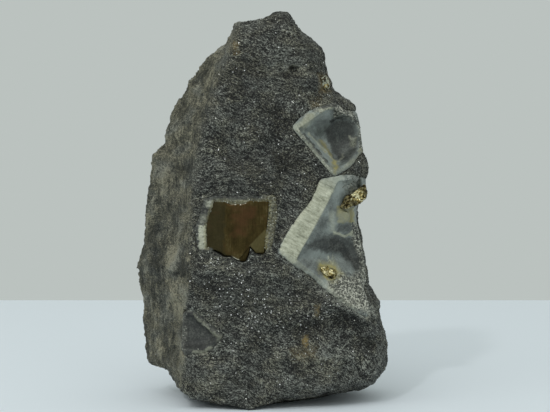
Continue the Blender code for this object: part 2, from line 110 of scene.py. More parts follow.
def surface_of(*nodes):
    """A searchable surface of some nodes, in millimetres."""
    points, faces = [], []
    for node in nodes:
        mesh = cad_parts[node].data
        first = len(points)
        points += [v.co / MM for v in mesh.vertices]
        faces += [[first + i for i in p.vertices] for p in mesh.polygons]
    return BVHTree.FromPolygons(points, faces)


def layout(piece):
    """Where a piece's points are in the layout of the features, as rows of (x, z), in millimetres."""
    places = np.zeros(len(piece.data.vertices) * 3)
    piece.data.vertices.foreach_get("co", places)
    x, y, z = (places.reshape(-1, 3) / MM).T
    return np.stack([x - SHIFT.x, z + (y - FACE_Y) * LAYOUT_LEAN], axis=1)


def ramp(value, low, high):
    """0 below low, 1 above high, and smooth between; high may be the smaller."""
    share = max(0.0, min(1.0, (value - low) / (high - low)))
    return share * share * (3.0 - 2.0 * share)


def eased(values, low, high):
    """ramp() for an array."""
    share = np.clip((values - low) / (high - low), 0.0, 1.0)
    return share * share * (3.0 - 2.0 * share)


def followed(spots, line):
    """How far along a line of corners the place nearest to each spot is, and how far off it the spot is."""
    along = np.zeros(len(spots))
    off = np.full(len(spots), np.inf)
    run = 0.0
    for start, end in zip(line, line[1:]):
        way = np.subtract(end, start)
        length = math.hypot(*way)
        share = np.clip((spots - start) @ way / length**2, 0.0, 1.0)
        distance = np.linalg.norm(spots - start - share[:, None] * way, axis=1)
        along = np.where(distance < off, run + share * length, along)
        off = np.minimum(off, distance)
        run += length
    return along, off


def within(spots, outline, soft):
    """1 inside an outline of corners and 0 outside it, with a soft edge so many millimetres wide."""
    inside = np.zeros(len(spots), bool)
    for (ax, az), (bx, bz) in zip(outline, outline[1:] + outline[:1]):
        if az != bz:
            crossing = ax + (spots[:, 1] - az) * (bx - ax) / (bz - az)
            inside ^= ((az > spots[:, 1]) != (bz > spots[:, 1])) & (spots[:, 0] < crossing)
    off = followed(spots, outline + outline[:1])[1]
    return eased(np.where(inside, off, -off), -soft / 2, soft / 2)


def blotched(spots, blotches):
    """The strongest of some soft patches at each spot; a patch is (outline, softness, strength)."""
    shares = [within(spots, outline, soft) * most for outline, soft, most in blotches]
    return np.max([np.zeros(len(spots))] + shares, axis=0)


WANDER_LENGTH = 1.1  # outlined patches wander from their outline in waves about this long, in millimetres
NOISE_SEED = 12  # without a seed, noise vectors differ from run to run
noise.seed_set(NOISE_SEED)


def wandering(piece, reach=0.45):
    """The layout's places moved about a little, so that what is outlined on them gets an irregular edge."""
    waves = [noise.turbulence_vector(v.co / (WANDER_LENGTH * MM), 2, False) for v in piece.data.vertices]
    moves = np.array(waves)[:, ::2]
    return layout(piece) + (moves - moves.mean(axis=0)) * reach


def roughen(piece, height):
    """Moves each point along its normal by height(point, normal), in millimetres; returns the heights."""
    mesh = piece.data
    normals = [n.vector.copy() for n in mesh.vertex_normals]
    heights = [height(v.co / MM, n) for v, n in zip(mesh.vertices, normals)]
    for vertex, normal, move in zip(mesh.vertices, normals, heights):
        vertex.co += normal * (move * MM)
    return heights


def facing_back(piece):
    """How much the surface faces back at each point: 1 straight back, -1 straight forward."""
    return np.array([n.vector.y for n in piece.data.vertex_normals])


def mark(piece, name, values):
    """Stores one number for each point, for the materials to read."""
    attribute = piece.data.attributes.new(name, "FLOAT", "POINT")
    attribute.data.foreach_set("value", np.array(values, np.float32))


inlays = surface_of(
    "large_mould_quartz",
    "upper_mould_quartz",
    "small_mould_quartz",
    "crystal_fringe_quartz",
    "pyrite_crystal",
)

# Creases and swells of the front, as (from (x, z), to (x, z), how far out, half width), in the layout's
# millimetres.
CREASES = [
    ((8.4, 18.2), (20.6, 20.4), -0.8, 1.8),
    ((14.6, 24.4), (25.4, 20.8), 0.5, 1.2),
    ((20.6, 15.2), (24.8, 14.4), -0.5, 1.2),
    ((6.4, 77.3), (6.9, 77.1), -1.0, 0.9),
    ((-12.4, 31.8), (-2.6, 31.3), 0.45, 0.9),
    ((-13.0, 29.4), (-3.0, 29.0), -0.4, 0.9),
    ((2.4, 66.0), (4.4, 54.0), -0.5, 1.6),
    ((4.8, 45.0), (3.2, 38.0), -0.4, 1.4),
    ((-3.6, 74.6), (2.8, 71.8), 0.35, 0.8),
    ((-14.5, 17.0), (-2.0, 13.0), -0.35, 1.4),
]


CREASE_ENDS = 3.0  # a crease is over this many half widths away


def crease_height(point):
    """How far out the creases and swells put a point of the front."""
    total = 0.0
    spot = Vector((point.x - SHIFT.x, point.z + (point.y - FACE_Y) * LAYOUT_LEAN))
    for start, end, out, wide in CREASES:
        way = Vector(end) - Vector(start)
        share = max(0.0, min(1.0, (spot - Vector(start)).dot(way) / way.length_squared))
        off = (spot - Vector(start) - way * share).length / wide
        if off < CREASE_ENDS:
            total += out * math.exp(-off * off)
    return total


# Relief of the broken rock: (how high, how long along X, Y and Z), in millimetres.
LUMPS = 0.30, (4.2, 3.4, 2.6)
GRAIN = 0.22, (1.5, 1.0, 0.9)
LEAF_EDGES = 0.34, (9.0, 0.8, 9.0)  # on the flanks, where the leaves end
LEAF_STEP = 0.12  # on the faces, one leaf stands this much above the next,
STEP_LENGTH = 5.0  # in waves about this long,
STEPS = 5.0  # with up to this many leaves broken through above the middle, and as many below
STEP_FACE = 0.75  # the share of a leaf that is flat before it steps up
FLAT_FOOT = 0.15  # the foot stays flat up to here,
WHOLE_ABOVE = 1.5  # and the relief is whole above here
FACES_DOWN = -0.5  # a surface that points down more than this belongs to the foot,
FACES_FRONT = -0.3  # and one that points forward more than this can be creased


def bumps(point, relief, roughness, spread, layers):
    """Fractal bumps of a relief's height and lengths."""
    high, lengths = relief
    scaled = Vector([part / length for part, length in zip(point, lengths)])
    return high * noise.fractal(scaled, roughness, spread, layers)


def schist_height(point, normal):
    """The broken grain of the rock."""
    if point.z < FLAT_FOOT and normal.z < FACES_DOWN:
        return 0.0
    across_leaves = 1.0 - abs(normal.y)
    lump = bumps(point, LUMPS, 0.7, 2.1, 3)
    grain = bumps(point, GRAIN, 0.6, 2.0, 2)
    step = noise.noise(point / STEP_LENGTH + Vector((20, 0, 0))) * STEPS
    step = LEAF_STEP * (math.floor(step) + ramp(step - math.floor(step), STEP_FACE, 1.0))
    leaves = bumps(point, LEAF_EDGES, 0.6, 2.0, 3)
    height = (lump + grain + step * (1.0 - across_leaves)) + leaves * across_leaves
    if normal.y < FACES_FRONT:
        height += crease_height(point)
    distance = inlays.find_nearest(point)[3]
    return height * ramp(distance, FIT, 3.0 * FIT) * ramp(point.z, 0.0, WHOLE_ABOVE)


class Value:
    """A socket of a material's nodes. Arithmetic on it adds Math nodes."""

    def __init__(self, finish, socket):
        self.finish = finish
        self.socket = socket

    def _math(self, operation, *values):
        return self.finish.add("ShaderNodeMath", {"operation": operation}, dict(enumerate(values)))

    def __add__(self, other):
        return self._math("ADD", self, other)

    def __radd__(self, other):
        return self._math("ADD", other, self)

    def __sub__(self, other):
        return self._math("SUBTRACT", self, other)

    def __rsub__(self, other):
        return self._math("SUBTRACT", other, self)

    def __mul__(self, other):
        return self._math("MULTIPLY", self, other)

    def over(self, low, high):
        """0 below low, 1 above high, and smooth between."""
        limits = {"Value": self, "From Min": low, "From Max": high}
        return self.finish.add("ShaderNodeMapRange", {"interpolation_type": "SMOOTHSTEP"}, limits)


# The Mix node's sockets for colours. It has others of the same names, so they are known by number.
MIX_COLOURS = 6, 7
MIX_RESULT = 2


class Finish:
    """A material, whose nodes are made by add()."""

    def __init__(self, name):
        self.material = bpy.data.materials.new(name)
        self.material.use_nodes = True
        self.tree = self.material.node_tree
        self.shader = self.tree.nodes["Principled BSDF"]

    def add(self, kind, settings=None, inputs=None, output=0):
        """Any node: its settings are set first, then the values or links of its sockets."""
        node = self.tree.nodes.new(kind)
        for name, value in (settings or {}).items():
            if name == "stops":
                self._set_stops(node.color_ramp.elements, value)
            else:
                setattr(node, name, value)
        for name, value in (inputs or {}).items():
            self._feed(node.inputs[name], value)
        return Value(self, node.outputs[output])

    def _set_stops(self, elements, stops):
        while len(elements) < len(stops):
            elements.new(1.0)
        for element, (place, colour) in zip(elements, stops):
            element.position = place
            element.color = (*colour, 1.0)

    def _feed(self, socket, value):
        if isinstance(value, Value):
            self.tree.links.new(value.socket, socket)
        else:
            socket.default_value = value

    def place(self):
        """Where a point is on the piece, in millimetres."""
        here = self.add("ShaderNodeTexCoord", output="Object")
        return self.add("ShaderNodeVectorMath", {"operation": "SCALE"}, {0: here, "Scale": 1.0 / MM})

    def stored(self, name):
        """A number that is stored on the piece's points."""
        return self.add("ShaderNodeAttribute", {"attribute_name": name}, output="Fac")

    def stretched(self, place, lengths):
        """Places divided by a length along each axis, so that a pattern has that size."""
        scale = [1.0 / length for length in lengths]
        return self.add("ShaderNodeMapping", {"vector_type": "POINT"}, {"Vector": place, "Scale": scale})

    def mottle(self, place, lengths, detail=3.0, roughness=0.55):
        """Cloudy variation of some lengths in millimetres, from 0 to 1."""
        return self.cloudy(self.stretched(place, lengths), detail, roughness)

    def cloudy(self, place, detail, roughness):
        """Cloudy variation over a place that already has the right scale, from 0 to 1."""
        inputs = {"Vector": place, "Scale": 1.0, "Detail": detail, "Roughness": roughness}
        return self.add("ShaderNodeTexNoise", {"normalize": True}, inputs)

    def joined(self, **parts):
        """A place made of its X, Y and Z."""
        return self.add("ShaderNodeCombineXYZ", None, parts)

    def cells(self, place, lengths):
        """Grains that each have a colour of their own."""
        inputs = {"Vector": self.stretched(place, lengths), "Scale": 1.0}
        return self.add("ShaderNodeTexVoronoi", {"feature": "F1"}, inputs, "Color")

    def lot(self, grains):
        """One number from 0 to 1 for each grain, out of its colour."""
        return self.add("ShaderNodeSeparateColor", None, {"Color": grains}, 0)

    def mixed(self, share, first, second, blend="MIX"):
        """A colour share of the way from the first colour to the second, or to their blend."""
        settings = {"data_type": "RGBA", "blend_type": blend}
        mix = self.add("ShaderNodeMix", settings, {"Factor": share}, MIX_RESULT)
        for number, colour in zip(MIX_COLOURS, (first, second)):
            value = colour if isinstance(colour, Value) else (*colour, 1.0)
            self._feed(mix.socket.node.inputs[number], value)
        return mix

    def varied(self, middle, *patterns):
        """A middle value moved up and down by patterns that go from 0 to 1, each with its weight."""
        for pattern, weight in patterns:
            middle = middle + (pattern - 0.5) * weight
        return middle

    def tones(self, value, stops):
        """A colour for each value, through the stops."""
        return self.add("ShaderNodeValToRGB", {"stops": stops}, {"Fac": value})

    def tilted(self, grains, amount):
        """The surface's direction, turned a little in each grain's own way."""
        turn = self.add("ShaderNodeVectorMath", {"operation": "SUBTRACT"}, {0: grains, 1: (0.5, 0.5, 0.5)})
        turn = self.add("ShaderNodeVectorMath", {"operation": "SCALE"}, {0: turn, "Scale": amount})
        straight = self.add("ShaderNodeNewGeometry", output="Normal")
        turned = self.add("ShaderNodeVectorMath", {"operation": "ADD"}, {0: straight, 1: turn})
        return self.add("ShaderNodeVectorMath", {"operation": "NORMALIZE"}, {0: turned})

    def bumped(self, height, depth, normal=None):
        """The surface's direction over bumps of a depth in millimetres."""
        inputs = {"Height": height, "Strength": 1.0, "Distance": depth * MM}
        if normal is not None:
            inputs["Normal"] = normal
        return self.add("ShaderNodeBump", None, inputs)

    def finish(self, **inputs):
        """Feeds the shader; a name's underscores stand for spaces."""
        for name, value in inputs.items():
            self._feed(self.shader.inputs[name.replace("_", " ")], value)
        return self.material


LEAVES_TILT = -0.35  # how far the seams on the front slope, in radians
FOLD_HEIGHT = 12.0  # and how high and low the folds take them, in millimetres


def schist_finish():
    """Grey seams of leaves on the front, paler streaks on the flanks, the stains on both, and painted light
    and shade.
    """
    rock = Finish("mica schist")
    place = rock.place()
    tilt = {"Vector": place, "Rotation": (0, LEAVES_TILT, 0)}
    turned = rock.add("ShaderNodeMapping", {"vector_type": "POINT"}, tilt)
    fold = rock.joined(Z=(rock.mottle(place, (17, 17, 17), 1.0) - 0.5) * FOLD_HEIGHT)
    turned = rock.add("ShaderNodeVectorMath", {"operation": "ADD"}, {0: turned, 1: fold})
    broad = rock.mottle(place, (8, 8, 6), 2.0)
    patches = rock.mottle(turned, (4.6, 1.8, 1.0), 3.0, 0.6)
    seams = rock.mottle(turned, (1.9, 0.5, 0.25), 2.0, 0.75)
    grains = rock.cells(turned, (0.27, 0.20, 0.15))
    lot = rock.lot(grains)
    # Painted light and shade, from the skin's light and shade patches.
    lit = rock.stored("light") * 0.16 - rock.stored("sooty") * 0.26
    tone = rock.varied(0.5, (broad, 0.6), (patches, 1.2), (seams, 1.35), (lot, 1.15))
    # Higher relief is lighter and pits are darker: painted light and shade.
    front = rock.tones(tone + rock.stored("relief") * 0.2 + lit, [
        (0.12, (0.0050, 0.0051, 0.0046)),
        (0.38, (0.0185, 0.0188, 0.0168)),
        (0.58, (0.046, 0.0465, 0.0415)),
        (0.80, (0.118, 0.119, 0.105)),
        (1.00, (0.26, 0.265, 0.235)),
    ])
    streak = rock.mottle(place, (0.6, 0.5, 4.2), 3.0, 0.65)
    blotch = rock.mottle(place, (2.2, 2.2, 5.0), 3.0, 0.6)
    flank_tone = rock.varied(0.5, (blotch, 1.05), (streak, 0.8), (seams, 0.6), (lot, 0.45))
    # Here too the relief paints light on tops and shade in pits.
    flank_tone = flank_tone + rock.stored("relief") * 0.25 + rock.stored("smooth") * 0.16
    flank = rock.tones(flank_tone + lit, [
        (0.14, (0.016, 0.017, 0.0145)),
        (0.36, (0.050, 0.051, 0.042)),
        (0.56, (0.112, 0.110, 0.090)),
        (0.80, (0.245, 0.238, 0.195)),
    ])
    colour = rock.mixed(rock.stored("flank"), front, flank)
    hue = rock.mottle(place, (4.5, 4.5, 3.5), 1.5, 0.5)
    hue = hue + rock.stored("brown") * 0.35 + rock.stored("flank") * 0.10
    tint = rock.mixed(hue.over(0.40, 0.68), (0.965, 0.995, 0.985), (1.03, 1.005, 0.88))
    colour = rock.mixed(1.0, colour, tint, "MULTIPLY")
    colour = rock.mixed(rock.stored("white") * tone.over(0.3, 0.55), colour, (0.34, 0.35, 0.30))
    colour = rock.mixed(rock.stored("rust") * patches.over(0.25, 0.5), colour, (0.21, 0.155, 0.062))
    flake = lot.over(0.86, 0.9)
    height = seams * 0.7 + patches * 0.9 + lot * 0.3
    rock.shader.inputs["Specular IOR Level"].default_value = 0.3
    return rock.finish(
        Base_Color=colour,
        Roughness=0.62 - flake * 0.3,
        Metallic=flake * 0.3,
        Normal=rock.bumped(height, 0.3, rock.tilted(grains, 0.7)),
    )


# The arris between the left flank and the front face, as (height, how far to the right) in millimetres.
ARRIS = [
    (0, -19.5), (5, -19.0), (9, -17.9), (21, -17.6), (30, -16.8), (39, -17.1), (51, -16.0), (63, -14.2),
    (75, -10.6), (85, -6.5), (95, -4.0),
]
ARRIS_RAGGED = 0.7  # the arris strays this far from that line,
ARRIS_WAVES = 2.5  # in waves about this long
ARRIS_SOFT = 0.5  # half the width over which the two finishes meet, low down,
ARRIS_SOFTER = 1.6  # and how much is added to it higher up, where the arris is rounded
ARRIS_ROUNDS = 30.0, 60.0  # it grows rounder from this height up to this


def flank_share(point):
    """1 on the left flank, 0 on the front face."""
    edge = np.interp(point.z, *zip(*ARRIS)) + ARRIS_RAGGED * noise.noise(point / ARRIS_WAVES)
    softness = ARRIS_SOFT + ARRIS_SOFTER * ramp(point.z, *ARRIS_ROUNDS)
    return ramp(point.x, edge + softness, edge - softness)


# How far the outer left flank lies inside the solid's, as (height, how far) in the layout's millimetres.
WORN_BACK = [
    (5, 0), (9, -0.4), (11, -0.4), (13.5, 0.5), (24.5, 0.7), (26.5, 0), (30, 0.1), (34, 0.5), (41, 0.7),
    (47, 0.45), (49.5, 1.0), (60.5, 1.3), (62.5, 0.6), (64.5, 0.2), (68, 0.6), (70, 1.3), (80, 1.4),
    (84, 1.7), (87, 0),
]
WORN_OVER = 3.0  # it comes in over this width beside the arris

# Hollows of the front that are brown, and darkened by painted shade.
UPPER_HOLLOW = [(1.6, 67.0), (7.0, 66.6), (7.2, 62.4), (3.0, 61.6)]
MIDDLE_HOLLOW = [(2.2, 58.4), (5.8, 58.2), (6.0, 53.4), (2.4, 53.2)]
LOWER_HOLLOW = [(7.6, 19.6), (13.6, 20.0), (13.6, 16.4), (7.4, 16.6)]

# Patches of the block's skin, as (outline, softness, strength), in the layout's millimetres. It is smooth
# where a leaf of the rock has come away, white where it is rich in quartz, and brown and rusty where pyrite
# has weathered. The shade patches paint shade into hollows, under ledges and over the upper front, and
# darken some rock on the left flank. The light patches paint light onto swells and ledges that face up, over
# the foot and the top, and lighten rock that is rich in quartz.
SKIN = {
    "smooth": [
        ([(-22.4, 37.0), (-19.6, 37.2), (-19.2, 31.2), (-22.2, 31.0)], 1.0, 1.0),
        ([(-22.4, 30.0), (-18.6, 30.2), (-17.6, 26.0), (-17.6, 20.6), (-19.6, 19.4), (-22.0, 24.0)],
         1.2, 1.0),
        ([(-25.0, 56.0), (-20.5, 56.0), (-20.5, 49.0), (-24.4, 48.6)], 2.0, 0.6),
        ([(-19.6, 17.0), (-17.4, 17.0), (-17.2, 6.0), (-19.0, 6.4)], 0.9, 0.9),
        ([(-26.0, 22.0), (-24.4, 22.0), (-22.4, 9.6), (-25.0, 9.8)], 1.6, 0.5),
    ],
    # Painted shade in hollows, under ledges and over the upper front, and darker rock on the left flank.
    "sooty": [
        ([(-26.6, 42.0), (-23.4, 42.4), (-22.6, 31.0), (-26.8, 30.0)], 2.4, 0.8),
        ([(-25.6, 48.4), (-23.0, 48.4), (-23.4, 46.8), (-25.6, 46.8)], 1.0, 0.9),
        ([(-20.2, 33.4), (-17.2, 33.4), (-17.4, 29.6), (-19.0, 30.0), (-19.6, 31.6)], 1.2, 0.9),
        ([(-21.0, 31.0), (-19.2, 30.9), (-19.2, 30.3), (-21.0, 30.3)], 0.5, 1.0),
        ([(-24.6, 17.8), (-21.2, 18.6), (-20.2, 11.0), (-23.6, 9.8)], 2.0, 0.5),
        ([(-27.0, 29.0), (-23.4, 29.0), (-23.2, 22.0), (-26.6, 22.0)], 2.4, 0.45),
        ([(5.6, 78.2), (7.6, 78.2), (7.8, 76.4), (5.8, 76.2)], 0.8, 1.0),
        (LOWER_HOLLOW, 2.2, 0.55),
        ([(14.4, 21.8), (21.0, 21.4), (24.2, 18.6), (21.6, 17.6), (15.4, 18.8)], 1.8, 0.8),
        ([(19.6, 15.8), (24.6, 16.2), (24.6, 13.4), (20.4, 13.6)], 1.6, 0.6),
        (UPPER_HOLLOW, 2.6, 0.55),
        (MIDDLE_HOLLOW, 2.4, 0.6),
        ([(-0.5, 63.0), (8.1, 63.5), (8.6, 56.2), (6.3, 47.2), (-0.5, 48.1)], 4.0, 0.3),
        ([(-8.0, 78.2), (-5.4, 78.2), (-5.4, 75.4), (-7.6, 75.2)], 1.0, 0.6),
        ([(-15.3, 67.5), (-7.2, 78.8), (5.0, 72.0), (8.1, 51.8), (5.9, 47.2), (-15.3, 48.1)], 8.0, 0.22),
    ],
    # Painted light on swells and ledges that face up, over the foot and the top, and paler quartz-rich rock.
    "light": [
        ([(-14.0, 76.0), (-11.0, 76.2), (-10.8, 73.8), (-13.4, 73.4)], 1.4, 0.8),
        ([(-6.4, 81.0), (-4.8, 80.6), (-4.8, 77.8), (-6.2, 78.0)], 0.8, 0.8),
        ([(-3.4, 74.8), (2.8, 74.2), (3.0, 71.2), (-2.8, 71.6)], 1.6, 0.6),
        ([(-13.3, 33.2), (-2.4, 33.0), (-2.6, 30.8), (-13.0, 30.4)], 1.2, 0.6),
        ([(13.4, 15.2), (18.2, 15.0), (18.0, 12.2), (13.8, 12.4)], 1.8, 0.5),
        ([(0.8, 49.0), (2.2, 49.0), (2.2, 38.0), (0.9, 38.0)], 1.0, 0.6),
        ([(16.4, 26.5), (20.0, 24.6), (25.2, 22.2), (26.4, 20.4), (22.6, 20.0), (17.0, 24.2)], 1.4, 0.8),
        ([(13.8, 51.6), (23.0, 53.0), (23.2, 50.2), (18.0, 49.6)], 1.0, 0.5),
        ([(-14.8, 24.8), (-0.5, 20.7), (12.6, 18.0), (27.2, 14.6), (26.6, 2.7), (-16.7, 2.7),
          (-16.2, 13.5)], 8.0, 0.5),
        ([(-11.2, 83.2), (-0.5, 85.5), (6.3, 83.2), (8.1, 75.2), (-0.5, 74.7), (-11.2, 70.7)], 6.0, 0.4),
        ([(21.2, 40.5), (23.4, 40.1), (25.2, 28.4), (23.4, 28.4), (21.8, 36.0)], 0.8, 0.7),
        ([(10.1, 72.9), (15.8, 72.5), (15.3, 69.3), (10.3, 68.9)], 1.6, 0.6),
        ([(-14.4, 67.5), (-7.2, 68.9), (-5.4, 63.5), (-13.1, 60.8)], 3.0, 0.3),
    ],
    "brown": [
        ([(-8.6, 84.6), (-5.6, 84.6), (-4.6, 70.0), (-8.0, 70.0)], 2.0, 0.8),
        (UPPER_HOLLOW, 2.6, 0.8),
        (MIDDLE_HOLLOW, 2.4, 0.8),
        ([(10.4, 72.4), (15.4, 71.4), (14.8, 68.8), (10.4, 68.4)], 2.0, 1.0),
        ([(11.2, 24.8), (13.0, 24.8), (12.6, 20.2), (11.2, 20.6)], 1.0, 1.0),
        ([(5.4, 14.6), (13.2, 14.2), (13.0, 9.6), (5.6, 9.8)], 2.6, 0.8),
        (LOWER_HOLLOW, 2.2, 0.8),
        ([(-1.6, 51.0), (3.6, 51.0), (3.6, 47.6), (-1.6, 47.8)], 1.6, 0.6),
    ],
    "white": [
        ([(16.7, 26.6), (19.8, 25.7), (22.9, 23.9), (25.9, 22.7), (26.1, 20.7), (22.5, 20.7),
          (18.4, 22.9), (16.2, 24.8)], 1.6, 1.0),
        ([(7.7, 31.1), (12.6, 27.9), (17.1, 24.8), (19.8, 22.9), (18.9, 22.1), (14.8, 24.3),
          (10.3, 27.4), (6.8, 30.2)], 0.8, 0.35),
        ([(4.2, 78.1), (5.5, 78.2), (5.7, 77.0), (4.4, 77.1)], 0.5, 0.7),
        ([(17.3, 13.6), (17.9, 13.4), (15.9, 9.4), (15.3, 9.6)], 0.3, 1.0),
        ([(19.8, 13.0), (20.3, 12.9), (19.1, 10.2), (18.6, 10.3)], 0.3, 0.7),
        ([(23.3, 11.6), (23.9, 11.4), (22.3, 8.3), (21.7, 8.5)], 0.3, 1.0),
        ([(16.2, 13.2), (18.9, 14.8), (19.7, 15.9), (20.0, 15.6), (19.1, 14.3), (16.4, 12.8)], 0.3, 0.8),
        ([(26.4, 10.6), (27.0, 10.4), (25.6, 7.4), (25.0, 7.6)], 0.3, 0.9),
        ([(12.6, 15.4), (13.1, 15.4), (13.0, 10.8), (12.5, 10.8)], 0.3, 0.8),
        ([(10.9, 26.4), (11.1, 26.4), (11.4, 21.6), (11.2, 21.6)], 0.25, 0.4),
    ],
    "rust": [
        ([(8.7, 16.5), (9.9, 16.4), (10.0, 14.0), (8.9, 14.1)], 0.5, 1.0),
        ([(6.0, 13.6), (12.0, 14.2), (11.6, 11.2), (7.0, 11.0)], 2.4, 0.25),
        ([(-7.2, 83.8), (-5.9, 83.6), (-6.0, 80.6), (-6.8, 80.8)], 0.9, 0.5),
        ([(12.0, 76.4), (14.6, 76.6), (15.6, 72.4), (12.8, 72.0)], 1.2, 0.45),
        ([(10.6, 70.8), (12.8, 70.8), (12.6, 69.0), (10.6, 68.8)], 1.2, 0.3),
        ([(11.5, 23.6), (12.7, 23.6), (12.4, 20.8), (11.6, 20.8)], 0.7, 0.45),
    ],
}

BACK_FACING = 0.6  # where a surface faces back more than this, it is the back face,
BACK_LIKE_FLANK = 0.35  # whose finish is this far like the flank's
PATCHES_UP_TO = 0.3  # and no patch reaches a surface that faces back more than this

schist = even(copied("schist", "schist_matrix"), SCHIST_CELL)
relief = roughen(schist, schist_height)
across, height = layout(schist).T
beside = np.interp(height, *zip(*ARRIS)) - across
worn = np.interp(height, *zip(*WORN_BACK)) * eased(beside, 0.0, WORN_OVER)
for vertex, move in zip(schist.data.vertices, worn):
    vertex.co.x += move * MM
places = [v.co / MM - SHIFT for v in schist.data.vertices]
facing = facing_back(schist)
mark(schist, "relief", relief)
flank = [flank_share(p) if y < BACK_FACING else BACK_LIKE_FLANK for p, y in zip(places, facing)]
flank = np.array(flank)
mark(schist, "flank", flank)
spots = wandering(schist)
skin = {kind: blotched(spots, patches) * (facing < PATCHES_UP_TO) for kind, patches in SKIN.items()}
for kind, shares in skin.items():
    mark(schist, kind, shares)
schist.data.materials.append(schist_finish())
schist.data.shade_smooth()
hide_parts("schist_matrix")
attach(schist, "root")


# ---- Loose grain of the block's skin ----
# Mica splits in thin leaves and quartz in crumbs. Both stand a little proud of the broken faces, each leaf
# tilted its own way, so that some catch the light and glitter.

FLAKES_PER_MM2 = 0.75
CRUMBS_PER_MM2 = 0.62
GLITTER_PER_MM2 = 2.6
GLINTS_PER_MM2 = 0.36


class Tree:
    """A Geometry Nodes tree with named inputs."""

    def __init__(self, name):
        self.tree = bpy.data.node_groups.new(name, "GeometryNodeTree")
        self.tree.interface.new_socket("Geometry", in_out="INPUT", socket_type="NodeSocketGeometry")
        self.tree.interface.new_socket("Geometry", in_out="OUTPUT", socket_type="NodeSocketGeometry")
        self.start = self.tree.nodes.new("NodeGroupInput")

    def ask(self, name, kind="NodeSocketFloat"):
        """A named input of the tree."""
        self.tree.interface.new_socket(name, in_out="INPUT", socket_type=kind)
        return self.start.outputs[name]

    def add(self, kind, settings=None, inputs=None, output=0):
        """Any node: its settings are set first, then the values or links of its sockets."""
        node = self.tree.nodes.new(kind)
        for name, value in (settings or {}).items():
            setattr(node, name, value)
        for name, value in (inputs or {}).items():
            if isinstance(value, bpy.types.NodeSocket):
                self.tree.links.new(value, node.inputs[name])
            else:
                node.inputs[name].default_value = value
        return node.outputs[output]

    def end(self, geometry):
        """Gives out the geometry as the tree's result."""
        last = self.tree.nodes.new("NodeGroupOutput")
        self.tree.links.new(geometry, last.inputs["Geometry"])

    def run(self, name, carrier, **values):
        """A plain mesh piece of what the tree makes on a carrier; the values go to the named inputs."""
        worker = shown(name, carrier.data.copy())
        nodes = worker.modifiers.new("nodes", "NODES")
        nodes.node_group = self.tree
        asked = [item for item in self.tree.interface.items_tree if item.in_out == "INPUT"]
        sockets = {item.name.replace(" ", "_"): item.identifier for item in asked}
        for key, value in values.items():
            nodes[sockets[key]] = value
        return settle(worker)


def scatter_tree():
    """Grains strewn over a surface; a named attribute of it says where they are dense."""
    tree = Tree("grain")
    grain = tree.ask("Grain", "NodeSocketObject")
    where = tree.ask("Where", "NodeSocketString")
    density = tree.ask("Density")
    least = tree.ask("Least size", "NodeSocketVector")
    most = tree.ask("Most size", "NodeSocketVector")
    tilt = tree.ask("Tilt")
    seed = tree.ask("Seed", "NodeSocketInt")
    finish = tree.ask("Finish", "NodeSocketMaterial")
    vector = {"data_type": "FLOAT_VECTOR"}
    number = {"data_type": "FLOAT"}
    share = tree.add("GeometryNodeInputNamedAttribute", number, {"Name": where})
    share = tree.add("ShaderNodeMath", {"operation": "MULTIPLY"}, {0: share, 1: density})
    spots = {"Mesh": tree.start.outputs["Geometry"], "Density": share, "Seed": seed}
    points = tree.add("GeometryNodeDistributePointsOnFaces", {"distribute_method": "RANDOM"}, spots)
    upright = points.node.outputs["Rotation"]
    shape = tree.add("GeometryNodeObjectInfo", None, {"Object": grain}, "Geometry")
    size = tree.add("FunctionNodeRandomValue", vector, {0: least, 1: most, "Seed": 1})
    laid = {"Points": points, "Instance": shape, "Rotation": upright, "Scale": size}
    grains = tree.add("GeometryNodeInstanceOnPoints", None, laid)
    lean = tree.add("ShaderNodeVectorMath", {"operation": "SCALE"}, {0: (1, 1, 0), "Scale": tilt})
    lean = tree.add("ShaderNodeVectorMath", {"operation": "ADD"}, {0: lean, 1: (0, 0, math.pi)})
    back = tree.add("ShaderNodeVectorMath", {"operation": "SCALE"}, {0: lean, "Scale": -1.0})
    turn = tree.add("FunctionNodeRandomValue", vector, {0: back, 1: lean, "Seed": 2})
    grains = tree.add("GeometryNodeRotateInstances", None, {"Instances": grains, "Rotation": turn})
    tone = tree.add("FunctionNodeRandomValue", number, {"Seed": 3}, 1)
    stored = {"Geometry": grains, "Name": "tone", "Value": tone}
    grains = tree.add("GeometryNodeStoreNamedAttribute", {**number, "domain": "INSTANCE"}, stored)
    whole = tree.add("GeometryNodeRealizeInstances", None, {"Geometry": grains})
    tree.end(tree.add("GeometryNodeSetMaterial", None, {"Geometry": whole, "Material": finish}))
    return tree


def grain_shape(name, points, widths):
    """A flat grain with so many corners, and as wide as it says at each height: (width, height)."""
    mesh = bmesh.new()
    rows = []
    turns = [Matrix.Rotation(math.tau * i / points, 3, "Z") for i in range(points)]
    for wide, high in widths:
        rows.append([mesh.verts.new(turn @ Vector((wide / 2, 0, high)) * MM) for turn in turns])
    mesh.faces.new(rows[0][::-1])
    mesh.faces.new(rows[-1])
    for low, high in zip(rows, rows[1:]):
        for i in range(points):
            j = (i + 1) % points
            mesh.faces.new((low[i], low[j], high[j], high[i]))
    return bpy.data.objects.new(name, kept(name, mesh))


def grain_finish(name, stops, roughness, metal):
    """Loose grains, each in a tone of its own; the pale ones shine as much as metal says."""
    grain = Finish(name)
    place = grain.place()
    tone = grain.stored("tone") + (grain.mottle(place, (1.5, 1.5, 1.0), 2.0) - 0.5) * 0.7
    bumps = grain.mottle(place, (0.15, 0.15, 0.15), 1.0)
    return grain.finish(
        Base_Color=grain.tones(tone, stops),
        Roughness=roughness + grain.stored("tone") * -0.12,
        Metallic=tone.over(0.5, 0.9) * metal,
        Normal=grain.bumped(bumps, 0.02),
    )


CRUMB = 4, [(0.7, -0.4), (1.0, 0.0), (0.5, 0.45)]  # its corners, and its widths at heights

